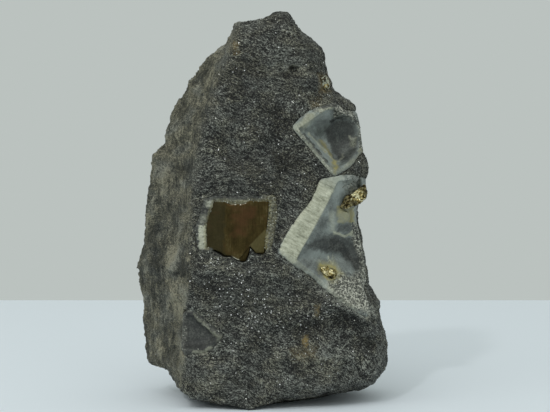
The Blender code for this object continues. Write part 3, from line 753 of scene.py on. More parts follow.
scatter = scatter_tree()
LOOSE = {
    "mica_flakes": (
        grain_shape("flake", 5, [(1.0, -0.5), (0.9, 0.5)]),
        dict(Where="bare", Density=FLAKES_PER_MM2 / MM**2, Least_size=(0.20, 0.16, 0.07),
             Most_size=(0.48, 0.36, 0.11), Tilt=0.45, Seed=11),
        grain_finish("mica flakes", [
            (0.10, (0.010, 0.011, 0.009)),
            (0.45, (0.026, 0.027, 0.023)),
            (0.75, (0.066, 0.068, 0.058)),
            (0.98, (0.16, 0.165, 0.145)),
        ], 0.42, 0.3),
    ),
    "quartz_crumbs": (
        grain_shape("crumb", *CRUMB),
        dict(Where="bare", Density=CRUMBS_PER_MM2 / MM**2, Least_size=(0.17, 0.15, 0.15),
             Most_size=(0.38, 0.31, 0.28), Tilt=0.9, Seed=12),
        grain_finish("quartz crumbs", [
            (0.05, (0.016, 0.017, 0.014)),
            (0.50, (0.038, 0.039, 0.033)),
            (0.80, (0.085, 0.087, 0.074)),
            (0.99, (0.20, 0.205, 0.18)),
        ], 0.5, 0.0),
    ),
    "mica_glitter": (
        grain_shape("spangle", 3, [(1.0, -0.5), (1.0, 0.5)]),
        dict(Where="glittery", Density=GLITTER_PER_MM2 / MM**2, Least_size=(0.18, 0.16, 0.06),
             Most_size=(0.38, 0.32, 0.09), Tilt=0.7, Seed=13),
        grain_finish("mica glitter", [
            (0.10, (0.020, 0.021, 0.018)),
            (0.60, (0.10, 0.105, 0.09)),
            (0.98, (0.45, 0.46, 0.42)),
        ], 0.34, 0.8),
    ),
    # Near-white leaves of mica that show as bright specks from any side: painted highlights on real grains.
    "mica_glints": (
        grain_shape("glint", 3, [(1.0, -0.5), (1.0, 0.5)]),
        dict(Where="sparkling", Density=GLINTS_PER_MM2 / MM**2, Least_size=(0.20, 0.18, 0.06),
             Most_size=(0.48, 0.40, 0.09), Tilt=0.4, Seed=14),
        grain_finish("mica glints", [
            (0.20, (0.62, 0.64, 0.61)),
            (0.45, (1.0, 1.0, 0.99)),
        ], 0.3, 0.2),
    ),
}
# Where the most leaves glint: across the front below the crystal, in the layout's millimetres.
SPARKLING = [
    ([(-14.4, 35.6), (-8.8, 35.1), (-1.4, 31.1), (5.9, 25.2), (14.0, 24.8), (14.0, 21.6), (9.9, 18.0),
      (-0.5, 18.9), (-7.7, 20.5), (-13.5, 20.9)], 3.0, 1.0),
    ([(12.2, 76.5), (17.1, 71.5), (20.7, 67.0), (18.2, 67.5), (13.1, 70.2)], 2.0, 0.5),
]
OFF_SEATS = 0.4, 0.7  # grains begin this far from the seats, and are at their densest from this far
OFF_FOOT = 0.8, 1.6  # and the same above the foot
LOST_ON_SMOOTH = 0.85  # the share of the grains that is missing where the skin is smooth,
LOST_ON_FLANK = 0.6  # and on the left flank
GLITTER_FACING = 0.3, 0.7  # how much a surface faces forward where the glitter begins, and where it is whole
GLITTER_LOST_ON_FLANK = 0.9
GLINTS_ELSEWHERE = 0.12  # the share of the glints that is left outside SPARKLING

places = [v.co / MM for v in schist.data.vertices]
bare = [ramp(inlays.find_nearest(p)[3], *OFF_SEATS) * ramp(p.z, *OFF_FOOT) for p in places]
bare = np.array(bare) * (1.0 - LOST_ON_SMOOTH * skin["smooth"]) * (1.0 - LOST_ON_FLANK * flank)
mark(schist, "bare", bare)
glittery = bare * eased(-facing, *GLITTER_FACING) * (1.0 - GLITTER_LOST_ON_FLANK * flank)
mark(schist, "glittery", glittery)
sparkling = GLINTS_ELSEWHERE + (1.0 - GLINTS_ELSEWHERE) * blotched(spots, SPARKLING)
mark(schist, "sparkling", glittery * sparkling)
for name, (grain, values, finish) in LOOSE.items():
    loose = scatter.run(name, schist, Grain=grain, Finish=finish, **values)
    bpy.data.objects.remove(grain)
    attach(loose, "root")


# ---- The quartz of the moulds ----
# Fibrous quartz that grew between each pyrite cube and the rock around it. The cubes have dropped out and
# left their smooth bluish imprint on it. Where it reaches the block's face it shows as a white fibrous rim.

QUARTZ_CELL = 0.22 * MM
GAP_REACH = 0.75  # the gap round a lining is closed where it is narrower than this, in millimetres
CLOSED = 0.01  # and left alone where it is narrower than this
OVERLAP = 0.08  # what is moved goes this far into the rock


def close_gap(piece, around):
    """Moves the points that lie near a seat onto its wall, so that a piece fills its seat."""
    for vertex in piece.data.vertices:
        point = vertex.co / MM
        near, _, _, distance = around.find_nearest(point, GAP_REACH)
        if near is not None and distance > CLOSED:
            step = (near - point) * (1.0 + OVERLAP / distance)
            vertex.co += step * (ramp(distance, GAP_REACH, 0.5 * GAP_REACH) * MM)
    piece.data.update()


SOFT_FROM = 0.02  # a smaller share of softening is left out


def soften(piece, shares, rounds):
    """Rounds a piece off where the shares say."""
    group = piece.vertex_groups.new(name="soft")
    for index, share in enumerate(shares):
        if share > SOFT_FROM:
            group.add([index], float(share), "REPLACE")
    smooth = piece.modifiers.new("smooth", "SMOOTH")
    smooth.iterations = rounds
    smooth.factor = 0.5
    smooth.vertex_group = "soft"
    settle(piece)
    piece.vertex_groups.clear()


def placed(x, z, y):
    """Where a spot of the layout is at a depth, in metres."""
    return Vector((x + SHIFT.x, y, z - (y - FACE_Y) * LAYOUT_LEAN)) * MM


def slab(outline, plane, back):
    """A slab from a leaning front down to a flat back. The front's depth is the plane's numbers times
    (1, x, z), added up."""
    mesh = bmesh.new()
    start, across, up = plane
    near = [mesh.verts.new(placed(x, z, start + across * x + up * z)) for x, z in outline]
    far = [mesh.verts.new(placed(x, z, back)) for x, z in outline]
    mesh.faces.new(near)
    mesh.faces.new(far[::-1])
    for i, j in zip(range(len(outline)), [*range(1, len(outline)), 0]):
        mesh.faces.new((near[j], near[i], far[i], far[j]))
    bmesh.ops.recalc_face_normals(mesh, faces=mesh.faces[:])
    return mesh


def add_to(piece, mesh):
    """Adds a mesh to a piece that is about to be evened, which fuses what overlaps."""
    whole = bmesh.new()
    whole.from_mesh(piece.data)
    extra = kept("extra", mesh)
    whole.from_mesh(extra)
    whole.to_mesh(piece.data)
    whole.free()
    bpy.data.meshes.remove(extra)


def quartz_finish():
    """White fibres on the rim, a bluish imprint inside, tan and coarse parts, and painted light and shade on
    it.
    """
    quartz = Finish("fibrous quartz")
    place = quartz.place()
    along = quartz.stored("along")
    off = quartz.stored("off")
    fibre = quartz.cloudy(quartz.joined(X=along * 4.0, Y=off * 0.5, Z=off * 0.2), 3.0, 0.6)
    sheaf = quartz.cloudy(quartz.joined(X=along * 1.1, Y=off * 0.35), 2.0, 0.6)
    cloud = quartz.mottle(place, (2.6, 2.6, 2.6), 3.0)
    fine = quartz.mottle(place, (0.35, 0.35, 0.35), 2.0)
    grit = quartz.cells(place, (0.42, 0.35, 0.32))
    lot = quartz.lot(grit)
    white = quartz.tones(quartz.varied(0.5, (fibre, 0.5), (sheaf, 0.5), (cloud, 0.3), (fine, 0.3)), [
        (0.34, (0.22, 0.23, 0.165)),
        (0.46, (0.36, 0.37, 0.275)),
        (0.56, (0.46, 0.47, 0.36)),
        (0.70, (0.60, 0.61, 0.49)),
    ])
    spread = quartz.cloudy(quartz.joined(X=quartz.stored("fan") * 9.0, Y=off * 0.12), 3.0, 0.65)
    wall = quartz.tones(quartz.varied(0.5, (cloud, 0.7), (spread, 0.4), (fine, 0.45)), [
        (0.32, (0.082, 0.092, 0.084)),
        (0.50, (0.155, 0.176, 0.163)),
        (0.70, (0.25, 0.285, 0.265)),
    ])
    # Painted shade for the moulds' depths and shaded walls, and the darker grey of the fringe.
    shade_and_dark_tone = quartz.tones(quartz.varied(0.5, (cloud, 0.8), (spread, 0.6), (fine, 0.8)), [
        (0.25, (0.006, 0.0065, 0.006)),
        (0.50, (0.021, 0.023, 0.020)),
        (0.78, (0.085, 0.090, 0.078)),
    ])
    # Painted light lifts the coarse quartz where the light blotches lie.
    lift = quartz.stored("light") * 0.2 + 0.5
    coarse = quartz.tones(quartz.varied(lift, (lot, 0.9), (fine, 0.6), (cloud, 0.6)), [
        (0.15, (0.022, 0.023, 0.020)),
        (0.42, (0.098, 0.100, 0.080)),
        (0.64, (0.25, 0.253, 0.205)),
        (0.88, (0.52, 0.52, 0.44)),
    ])
    # Painted light on walls that face the lamps, and on paler broken quartz.
    colour = quartz.mixed(quartz.stored("light") * (0.5 + cloud), wall, (0.27, 0.305, 0.285))
    colour = quartz.mixed(quartz.stored("coarse"), colour, coarse)
    colour = quartz.mixed(quartz.stored("dark") * (0.75 + spread * 0.5), colour, shade_and_dark_tone)
    colour = quartz.mixed(quartz.stored("white"), colour, white)
    colour = quartz.mixed(quartz.stored("tan") * cloud.over(0.25, 0.5), colour, (0.35, 0.30, 0.085))
    quartz.shader.inputs["Subsurface Weight"].default_value = 0.10
    quartz.shader.inputs["Subsurface Radius"].default_value = (0.6 * MM, 0.6 * MM, 0.55 * MM)
    quartz.shader.inputs["Subsurface Scale"].default_value = 1.0
    ridges = fibre * quartz.stored("white") + lot * quartz.stored("coarse") * 0.8
    return quartz.finish(
        Base_Color=colour,
        Roughness=0.38 + quartz.stored("white") * 0.17 + quartz.stored("dark") * 0.25,
        Normal=quartz.bumped(ridges + fine * 0.2 + cloud * 0.4, 0.2),
    )


quartz = quartz_finish()
block = surface_of("schist_matrix")

# A part of the large mould's broken quartz that is both light and tan.
BROKEN_QUARTZ = [(16.7, 45.5), (19.8, 45.5), (19.8, 42.3), (16.7, 42.3)]

# Each lining has its node, the rim of its mould, three spots of the block's face round it, how the rim
# looks along its way (how far along, how white, how wide), how far the inside is rounded off, and the spot
# that its fibres spread from. Then come the slabs of broken quartz that stand in it, as for slab(), and its
# blotches, as for blotched(). The darker blotches are painted shade deep in the moulds and on walls turned
# away from the light. The light ones are painted light on walls turned to it, and in part paler broken
# quartz. All of it is in the layout's millimetres.
LININGS = {
    "large_mould_lining": dict(
        node="large_mould_quartz",
        rim=[(36.0, 14.0), (18.4, 25.0), (7.4, 34.0), (16.9, 51.4), (36.0, 52.6)],
        face=[(2.0, 38.0), (12.5, 24.0), (12.0, 53.0)],
        looks=[(0, 0.25, 1.0), (34.4, 0.3, 1.4), (35.2, 1.0, 5.2), (52.0, 1.0, 5.2), (54.6, 0.5, 5.2),
               (56.5, 0.0, 3.0)],
        rounded=0.35,
        fan=(14.8, 38.0),
        slabs=[
            ([(16.4, 45.6), (16.9, 44.5), (18.0, 45.1), (19.3, 44.8), (19.7, 43.6), (19.1, 42.3),
              (16.2, 42.0), (15.8, 43.6)], (-1.62, 0.3, -0.22), -2.5),
            ([(15.8, 42.4), (19.2, 42.6), (19.8, 41.2), (19.1, 39.7), (16.1, 39.7), (15.6, 41.0)],
             (-1.1, 0.3, -0.22), -2.5),
            ([(15.8, 50.0), (18.4, 51.8), (20.7, 51.3), (21.8, 49.5), (21.6, 46.6), (19.8, 44.8),
              (17.6, 44.3), (15.8, 46.1)], (-9.3, 0.77, -0.22), -1.0),
            ([(11.7, 33.0), (13.5, 33.6), (15.4, 32.9), (16.9, 31.4), (16.9, 29.4), (14.2, 29.2),
              (12.4, 31.2)], (-43.9, 0.75, 0.81), -4.0),
        ],
        dark=[
            ([(12.2, 38.7), (14.8, 39.8), (18.2, 39.1), (19.8, 38.2), (21.2, 36.9), (22.1, 34.6),
              (22.5, 31.1), (20.9, 30.6), (19.4, 33.3), (17.8, 34.6), (15.8, 35.1), (13.1, 36.0),
              (10.3, 36.5), (9.0, 37.4)], 1.2, 0.8),
            ([(14.4, 39.1), (17.1, 38.7), (18.9, 37.4), (20.7, 34.6), (21.2, 31.9), (19.4, 33.3),
              (17.1, 35.3), (14.4, 36.0)], 1.0, 1.0),
            ([(19.8, 34.6), (22.1, 34.2), (22.5, 31.1), (20.7, 31.1)], 0.8, 1.0),
            ([(16.2, 37.8), (20.2, 39.1), (20.7, 38.2), (16.7, 36.7)], 0.6, 0.8),
            ([(8.1, 34.6), (9.9, 37.4), (13.1, 43.2), (14.8, 42.8), (12.2, 38.2), (9.5, 35.1)], 1.6, 0.5),
            ([(19.4, 45.5), (20.5, 45.7), (20.7, 42.3), (19.4, 42.3)], 0.6, 0.55),
            ([(16.9, 41.9), (19.8, 41.9), (19.8, 40.3), (16.9, 40.3)], 0.6, 0.55),
            ([(9.0, 33.3), (12.2, 33.3), (14.4, 31.9), (13.1, 30.2), (9.9, 32.4)], 1.4, 0.35),
        ],
        light=[
            ([(8.1, 34.4), (9.5, 36.0), (12.2, 36.0), (14.4, 35.3), (14.8, 34.4), (12.2, 34.4),
              (9.5, 34.0)], 0.9, 0.6),
            ([(13.1, 29.2), (14.8, 29.2), (17.1, 26.6), (15.8, 26.6)], 1.0, 0.5),
            ([(14.8, 44.6), (16.2, 45.0), (16.4, 40.1), (15.1, 40.5)], 1.4, 0.6),
            ([(16.2, 53.6), (19.8, 53.6), (20.7, 51.3), (18.0, 49.1), (15.8, 48.1)], 2.0, 1.0),
            ([(16.7, 27.9), (19.8, 27.9), (22.9, 24.8), (23.4, 21.6), (19.8, 23.9)], 2.4, 0.9),
            (BROKEN_QUARTZ, 0.6, 0.4),
        ],
        tan=[
            ([(12.2, 32.9), (13.7, 33.1), (16.4, 32.4), (16.7, 29.2), (14.4, 29.2), (12.6, 31.1)],
             0.8, 0.8),
            ([(12.2, 33.3), (16.0, 33.3), (18.0, 30.6), (16.2, 28.4), (13.5, 29.7)], 1.6, 0.45),
            (BROKEN_QUARTZ, 0.5, 0.4),
            ([(19.4, 45.9), (20.5, 46.1), (20.7, 42.3), (19.4, 42.3)], 0.6, 0.5),
            ([(16.7, 46.1), (18.4, 45.7), (17.3, 44.3), (16.4, 44.6)], 0.5, 0.5),
        ],
        pale=[
            ([(14.6, 44.6), (16.0, 45.0), (16.2, 40.3), (15.1, 40.5)], 1.2, 0.4),
            ([(15.8, 40.5), (18.2, 39.6), (20.7, 40.3), (20.5, 39.6), (18.2, 38.9), (15.8, 39.8)],
             0.35, 0.85),
            ([(20.2, 45.9), (20.9, 45.9), (20.9, 42.3), (20.2, 42.3)], 0.5, 0.5),
            ([(14.4, 34.6), (14.8, 34.9), (15.8, 32.9), (15.3, 32.6)], 0.25, 0.6),
            ([(15.8, 35.1), (16.0, 35.1), (15.8, 32.9), (15.5, 32.9)], 0.25, 0.5),
            ([(14.0, 33.3), (16.0, 34.4), (16.2, 34.2), (14.2, 33.1)], 0.25, 0.4),
            ([(14.0, 28.4), (15.5, 27.7), (16.2, 26.3), (14.6, 26.6)], 0.8, 0.55),
        ],
        coarse=[
            ([(14.8, 30.2), (17.6, 31.1), (19.8, 30.2), (22.5, 31.1), (24.3, 27.4), (26.1, 21.6),
              (24.3, 21.2), (19.4, 22.9), (16.7, 25.2), (14.4, 27.4)], 2.0, 0.95),
            ([(20.2, 42.3), (22.1, 42.3), (22.9, 36.0), (24.3, 27.4), (22.1, 27.4), (21.8, 33.3),
              (20.7, 36.9), (20.0, 39.1)], 0.6, 0.95),
            ([(17.8, 53.6), (22.1, 53.6), (22.5, 50.4), (19.4, 49.1), (17.8, 50.9)], 1.4, 0.35),
        ],
    ),
    "upper_mould_lining": dict(
        node="upper_mould_quartz",
        rim=[(28.0, 60.4), (15.8, 53.9), (7.9, 63.4), (15.7, 68.4), (20.8, 66.1)],
        face=[(6.0, 62.0), (13.5, 71.0), (13.0, 54.5)],
        looks=[(0, 0.3, 1.5), (13.4, 0.3, 0.8), (25.4, 0.3, 0.8), (26.2, 0.55, 1.7), (30.0, 0.35, 1.2),
               (34.0, 0.15, 0.8), (36.0, 0.0, 1.0)],
        rounded=1.0,
        fan=(15.6, 54.8),
        slabs=[],
        dark=[
            ([(15.5, 65.7), (18.2, 66.6), (20.7, 65.2), (21.6, 61.6), (21.2, 58.5), (19.4, 56.7),
              (17.1, 56.2), (15.8, 58.5), (14.4, 61.2), (13.5, 63.9)], 1.4, 0.85),
            ([(14.8, 65.9), (16.7, 66.6), (18.7, 66.8), (20.9, 65.2), (20.9, 64.8), (18.7, 66.2),
              (16.7, 65.9), (15.1, 65.2)], 0.35, 0.95),
            ([(8.6, 62.8), (9.2, 62.8), (11.9, 59.4), (14.6, 56.2), (14.2, 55.8), (11.5, 59.0)], 0.3, 0.75),
            ([(10.8, 64.8), (13.1, 66.6), (15.3, 65.7), (14.4, 61.6)], 1.6, 0.4),
            ([(13.1, 60.8), (14.0, 60.8), (16.4, 56.9), (15.8, 56.5)], 0.5, 0.5),
            ([(11.2, 68.4), (15.8, 70.2), (16.7, 69.1), (15.5, 68.6), (12.2, 67.7)], 0.4, 0.75),
            ([(18.0, 55.4), (22.9, 59.0), (23.9, 56.7), (19.4, 53.1)], 0.8, 0.5),
        ],
        light=[
            ([(9.2, 62.8), (9.9, 63.0), (12.6, 60.3), (15.8, 56.9), (15.1, 55.6), (11.9, 59.0)], 0.4, 0.8),
            ([(11.0, 67.0), (15.3, 68.4), (16.2, 66.8), (13.5, 64.8), (11.0, 63.5)], 1.6, 0.2),
            ([(15.8, 57.8), (18.0, 57.6), (17.3, 55.8), (16.0, 55.4)], 1.0, 0.35),
        ],
        tan=[
            ([(12.6, 61.4), (13.3, 61.4), (15.8, 57.8), (16.2, 54.9), (15.3, 56.7)], 0.5, 0.45),
            ([(15.3, 56.2), (16.2, 57.1), (16.9, 54.9), (16.0, 53.3)], 0.8, 0.8),
            ([(21.6, 59.4), (22.7, 59.6), (22.9, 57.1), (22.1, 56.7)], 0.5, 0.35),
            ([(7.9, 64.4), (9.5, 67.0), (11.7, 67.7), (11.0, 66.2), (8.8, 63.5)], 0.8, 0.12),
        ],
        pale=[
            ([(7.9, 64.1), (9.2, 67.0), (12.2, 68.0), (10.8, 65.5), (8.8, 63.5)], 1.0, 0.5),
            ([(9.7, 63.0), (10.1, 63.0), (16.2, 56.9), (15.8, 56.5)], 0.25, 0.7),
            ([(7.2, 63.2), (7.9, 63.2), (15.8, 54.0), (15.1, 53.3)], 0.35, 0.55),
            ([(19.8, 62.1), (21.2, 62.1), (20.9, 60.1), (19.8, 60.1)], 0.9, 0.4),
            ([(19.4, 62.6), (19.8, 62.6), (20.2, 61.6), (19.8, 61.4)], 0.3, 0.4),
            ([(16.7, 56.2), (18.2, 58.5), (18.4, 58.3), (17.1, 56.0)], 0.25, 0.3),
            ([(18.2, 55.6), (20.7, 57.4), (22.5, 58.7), (22.7, 57.8), (20.7, 56.0), (18.0, 54.7)],
             0.6, 0.5),
            ([(14.8, 56.5), (15.8, 56.5), (16.4, 54.2), (15.5, 53.8)], 0.5, 0.3),
            ([(12.2, 68.0), (15.5, 68.9), (15.8, 68.4), (12.4, 67.3)], 0.35, 0.6),
        ],
        coarse=[
            ([(10.8, 68.4), (15.8, 70.7), (16.7, 69.1), (15.5, 68.4), (12.2, 67.5)], 0.4, 0.9),
            ([(15.8, 68.9), (18.2, 69.5), (20.9, 67.5), (22.1, 64.4), (20.7, 65.7), (18.4, 67.0),
              (15.8, 66.6)], 0.8, 0.9),
            ([(21.6, 65.2), (22.5, 64.8), (23.4, 56.2), (22.1, 56.7)], 0.6, 0.6),
            ([(7.2, 63.2), (7.9, 63.7), (8.6, 62.8), (15.5, 54.5), (15.5, 52.9)], 0.35, 0.7),
            ([(19.4, 62.3), (21.2, 62.3), (21.2, 60.1), (19.8, 60.1)], 0.8, 0.5),
        ],
    ),
    "small_mould_lining": dict(
        node="small_mould_quartz",
        rim=[(-17.9, 21.8), (-10.2, 16.6), (-12.6, 14.2), (-18.2, 13.3)],
        face=[(-15.0, 24.0), (-8.5, 17.0), (-14.0, 10.5)],
        looks=[(0, 0.0, 0.5), (20.0, 0.0, 0.5)],
        rounded=1.0,
        fan=(-18.0, 14.0),
        slabs=[],
        dark=[
            ([(-18.0, 22.1), (-15.8, 22.1), (-13.1, 18.9), (-9.0, 16.2), (-9.5, 14.4), (-13.1, 12.2),
              (-18.0, 12.2)], 0.6, 1.0),
            ([(-18.9, 23.4), (-8.1, 18.0), (-8.1, 13.5), (-11.7, 11.2), (-18.9, 11.2)], 0.4, 0.8),
        ],
        pale=[
            ([(-16.0, 21.8), (-14.4, 20.5), (-12.2, 18.2), (-9.9, 16.4), (-10.1, 16.0), (-12.6, 17.8),
              (-14.8, 20.0), (-16.2, 21.4)], 0.25, 0.4),
            ([(-10.8, 17.1), (-9.5, 16.9), (-9.2, 15.5), (-10.6, 15.5)], 0.9, 0.3),
            ([(-16.2, 13.1), (-13.7, 13.3), (-11.7, 14.4), (-11.5, 14.0), (-13.5, 12.6), (-16.2, 12.6)],
             0.3, 0.45),
        ],
        coarse=[
            ([(-18.0, 23.4), (-16.7, 22.9), (-14.4, 21.2), (-9.7, 17.1), (-8.6, 15.3), (-11.2, 16.0),
              (-15.3, 20.0), (-17.1, 21.6), (-18.0, 21.2)], 0.5, 0.95),
            ([(-18.0, 13.7), (-13.3, 13.7), (-11.2, 16.2), (-8.6, 16.2), (-11.7, 11.2), (-18.0, 11.2)],
             0.5, 0.95),
            ([(-18.9, 22.9), (-17.3, 22.1), (-17.3, 13.5), (-18.9, 12.6)], 0.5, 0.95),
        ],
    ),
}


QUARTZ_BUMP = 0.05  # how high its small bumps are, in millimetres,
QUARTZ_BUMP_LENGTH = 0.9  # and how long
SIGHT_FROM = 40  # the block's face is looked for from this far in front, in millimetres


def quartz_height(point, normal):
    """Small bumps all over the quartz."""
    return QUARTZ_BUMP * noise.fractal(point / QUARTZ_BUMP_LENGTH, 0.7, 2.0, 2)


def face_plane(spots):
    """The plane of the block's face through three spots of it, as for a slab."""
    sight = Vector((0, 1, -LAYOUT_LEAN))
    starts = [Vector((x + SHIFT.x, FACE_Y, z)) - SIGHT_FROM * sight for x, z in spots]
    depths = [block.ray_cast(start, sight)[0].y for start in starts]
    return np.linalg.solve(np.insert(np.array(spots), 0, 1.0, axis=1), depths)


GRIT_PER_MM2 = 5.0
GRIT_FACING = 0.1, 0.5  # how much a surface faces forward where the grit begins, and where it is whole
GRIT_LOST_IN_DARK = 0.8  # the share of it that is missing on the dark blotches
grit_finish = grain_finish("quartz grit", [
    (0.05, (0.020, 0.021, 0.017)),
    (0.45, (0.060, 0.062, 0.050)),
    (0.75, (0.17, 0.178, 0.145)),
    (0.98, (0.46, 0.47, 0.40)),
], 0.45, 0.0)
crumb = grain_shape("crumb", *CRUMB)


def strewn(piece):
    """Crumbs on the coarse parts of a piece of quartz."""
    grit = scatter.run(
        f"{piece.name}_grit", piece, Where="gritty", Density=GRIT_PER_MM2 / MM**2, Grain=crumb,
        Least_size=(0.18, 0.16, 0.14), Most_size=(0.50, 0.40, 0.30), Tilt=0.9, Seed=21, Finish=grit_finish,
    )
    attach(grit, "root")


def finish_quartz(piece, spots, line, marks):
    """Stores what the quartz's finish reads, and puts the finish on."""
    bare = (1.0 - marks["white"]) * eased(-facing_back(piece), *GRIT_FACING)
    mark(piece, "gritty", marks["grit"] * bare)
    along, off = followed(spots, line)
    mark(piece, "along", along)
    mark(piece, "off", off)
    for name in ("white", "coarse", "tan", "dark", "light"):
        mark(piece, name, marks[name])
    piece.data.materials.append(quartz)
    piece.data.shade_smooth()


RIM_SOFT = 0.3  # how soft the rim's edges are, in millimetres
RIM_DEPTH = 1.3, 0.7  # it ends this deep behind the block's face, and is whole down to this deep
RIM_FACING = 0.6, 0.85  # how much its surface faces forward where the rim begins, and where it is whole


def rim_share(piece, spots, depth, plan):
    """1 on the white rim, which lies round the mould where the lining reaches the block's face."""
    along, off = followed(spots, plan["rim"])
    way, whiteness, width = zip(*plan["looks"])
    share = eased(np.interp(along, way, width) - off, -RIM_SOFT, RIM_SOFT) * eased(depth, *RIM_DEPTH)
    share *= eased(-facing_back(piece), *RIM_FACING) * (1.0 - within(spots, plan["rim"], RIM_SOFT))
    return share * np.interp(along, way, whiteness)


ROUNDED_DEPTH = 0.5, 2.0  # a lining is rounded off from this deep, and fully so from this deep
ROUNDED_ROUNDS = 40

for name, plan in LININGS.items():
    lining = copied(name, plan["node"])
    for outline, front, back in plan["slabs"]:
        add_to(lining, slab(outline, front, back))
    even(lining, QUARTZ_CELL)
    close_gap(lining, block)
    spots = layout(lining)
    depth = np.array([v.co.y / MM for v in lining.data.vertices])
    depth = depth - np.insert(spots, 0, 1.0, axis=1) @ face_plane(plan["face"])
    soften(lining, eased(depth, *ROUNDED_DEPTH) * plan["rounded"], ROUNDED_ROUNDS)
    roughen(lining, quartz_height)
    lining.data.update()
    mark(lining, "fan", np.arctan2(*(spots - plan["fan"]).T))
    blotches = ("dark", "light", "tan", "pale", "coarse")
    marks = {kind: blotched(wandering(lining), plan.get(kind, [])) for kind in blotches}
    marks["white"] = np.maximum(rim_share(lining, spots, depth, plan), marks["pale"])
    marks["grit"] = marks["coarse"] * (1.0 - GRIT_LOST_IN_DARK * marks["dark"])
    finish_quartz(lining, spots, plan["rim"], marks)
    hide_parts(plan["node"])
    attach(lining, "root")
    strewn(lining)


# ---- The crystal's fringe ----
# The same quartz, in fibres that stand square to the sides of the crystal that is still in place. It is
# broad and white on the left, and thin and grey above and on the right.

FRINGE_CELL = 0.16 * MM
FRINGE_BUMPS = 0.16, (3.0, 2.0, 0.45)  # long across the fringe and short along it, as its fibres lie
# Where the fringe is white, as (outline, softness, strength), in the layout's millimetres.
FIBROUS = [
    ([(-13.1, 47.5), (-11.5, 47.5), (-11.5, 45.9), (-12.8, 45.7)], 0.5, 0.45),
    ([(-14.6, 44.1), (-13.1, 44.3), (-12.8, 42.3), (-14.4, 42.1)], 0.6, 0.25),
    ([(-14.8, 41.6), (-13.1, 41.9), (-13.1, 36.5), (-14.6, 36.5)], 0.5, 0.9),
    ([(-10.8, 47.9), (-0.5, 47.7), (-0.5, 47.2), (-10.8, 47.2)], 0.3, 0.22),
    ([(1.1, 47.2), (2.0, 47.2), (1.8, 44.1), (1.1, 44.1)], 0.4, 0.2),
]
INNER_EDGE = 0.75, 0.45  # a brown seam starts this far from the crystal's sides, and is whole this near
ON_THE_RIGHT = -1.0, 1.0  # between these places the fringe turns into that of the right side
CRYSTAL_SIDES = [
    (-12.9, 36.7), (-13.1, 41.2), (-12.4, 43.8), (-11.3, 47.0), (1.0, 46.9), (0.6, 42.0), (0.0, 35.2),
]


def fringe_height(point, normal):
    """The ends of the fibres."""
    return bumps(point, FRINGE_BUMPS, 0.6, 2.0, 2)


fringe = even(copied("crystal_fringe", "crystal_fringe_quartz"), FRINGE_CELL)
close_gap(fringe, surface_of("schist_matrix", "pyrite_crystal"))
roughen(fringe, fringe_height)
spots = layout(fringe)
mark(fringe, "fan", spots[:, 1] * 0.1)
white = blotched(wandering(fringe, 0.3), FIBROUS)
inner = eased(followed(spots, CRYSTAL_SIDES)[1], *INNER_EDGE)
right = eased(spots[:, 0], *ON_THE_RIGHT)
finish_quartz(fringe, spots, CRYSTAL_SIDES, {
    "white": white,
    "coarse": 1.0 - 0.8 * white,
    "tan": 0.2 * inner + 0.15 * right,
    # Darker over the grey quartz, and painted shade along the crystal's sides.
    "dark": np.maximum((0.86 - 0.16 * right) * (1.0 - white), 0.65 * inner),
    "grit": 0.4 + 0.6 * right,
    "light": np.zeros(len(spots)),
})
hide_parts("crystal_fringe_quartz")
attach(fringe, "root")
strewn(fringe)
bpy.data.objects.remove(crumb)


# ---- The pyrite crystal ----
# A cube of pyrite, broken off level with the face of the block. Its face is tarnished a bronze brown and
# finely striped. The strip on its left is a step down, and a corner has cleaved off to a paler facet.

CRYSTAL_CELL = 0.14 * MM
SIDE_GROWTH = 0.2  # the crystal fills its seat but for a hair of shadow, in millimetres
STEP_EDGE = -9.1  # where the face steps down
STEP_ROUNDED = 2.4, 0.6  # it is rounded off within this far of that edge, and fully so within this far
STEP_ROUNDS = 120
STEP_WANDERS = 0.8  # how far the dark strip's edge strays
# Outlines on the face, in the layout's millimetres.
CLEAVED = [(1.2, 41.8), (-3.4, 37.1), (-1.4, 34.6), (1.2, 34.2)]
# Painted highlights, near white, at the step in the top edge and along the lower edge.
PAINTED_GLINTS = [
    [(-7.42, 46.89), (-6.3, 46.8), (-6.3, 46.48), (-7.42, 46.58)],
    [(-5.62, 46.76), (-4.05, 47.07), (-4.05, 46.8), (-5.4, 46.44)],
    [(-7.42, 34.78), (-5.4, 33.93), (-5.49, 33.61), (-7.52, 34.47)],
]
WARM = [(-8.1, 47.2), (-1.4, 46.4), (-1.4, 41.4), (-4.0, 38.7), (-7.2, 40.1)]
STEP_DOWN = [(-14.0, 48.0), (-9.0, 48.0), (-9.0, 33.0), (-14.0, 33.0)]


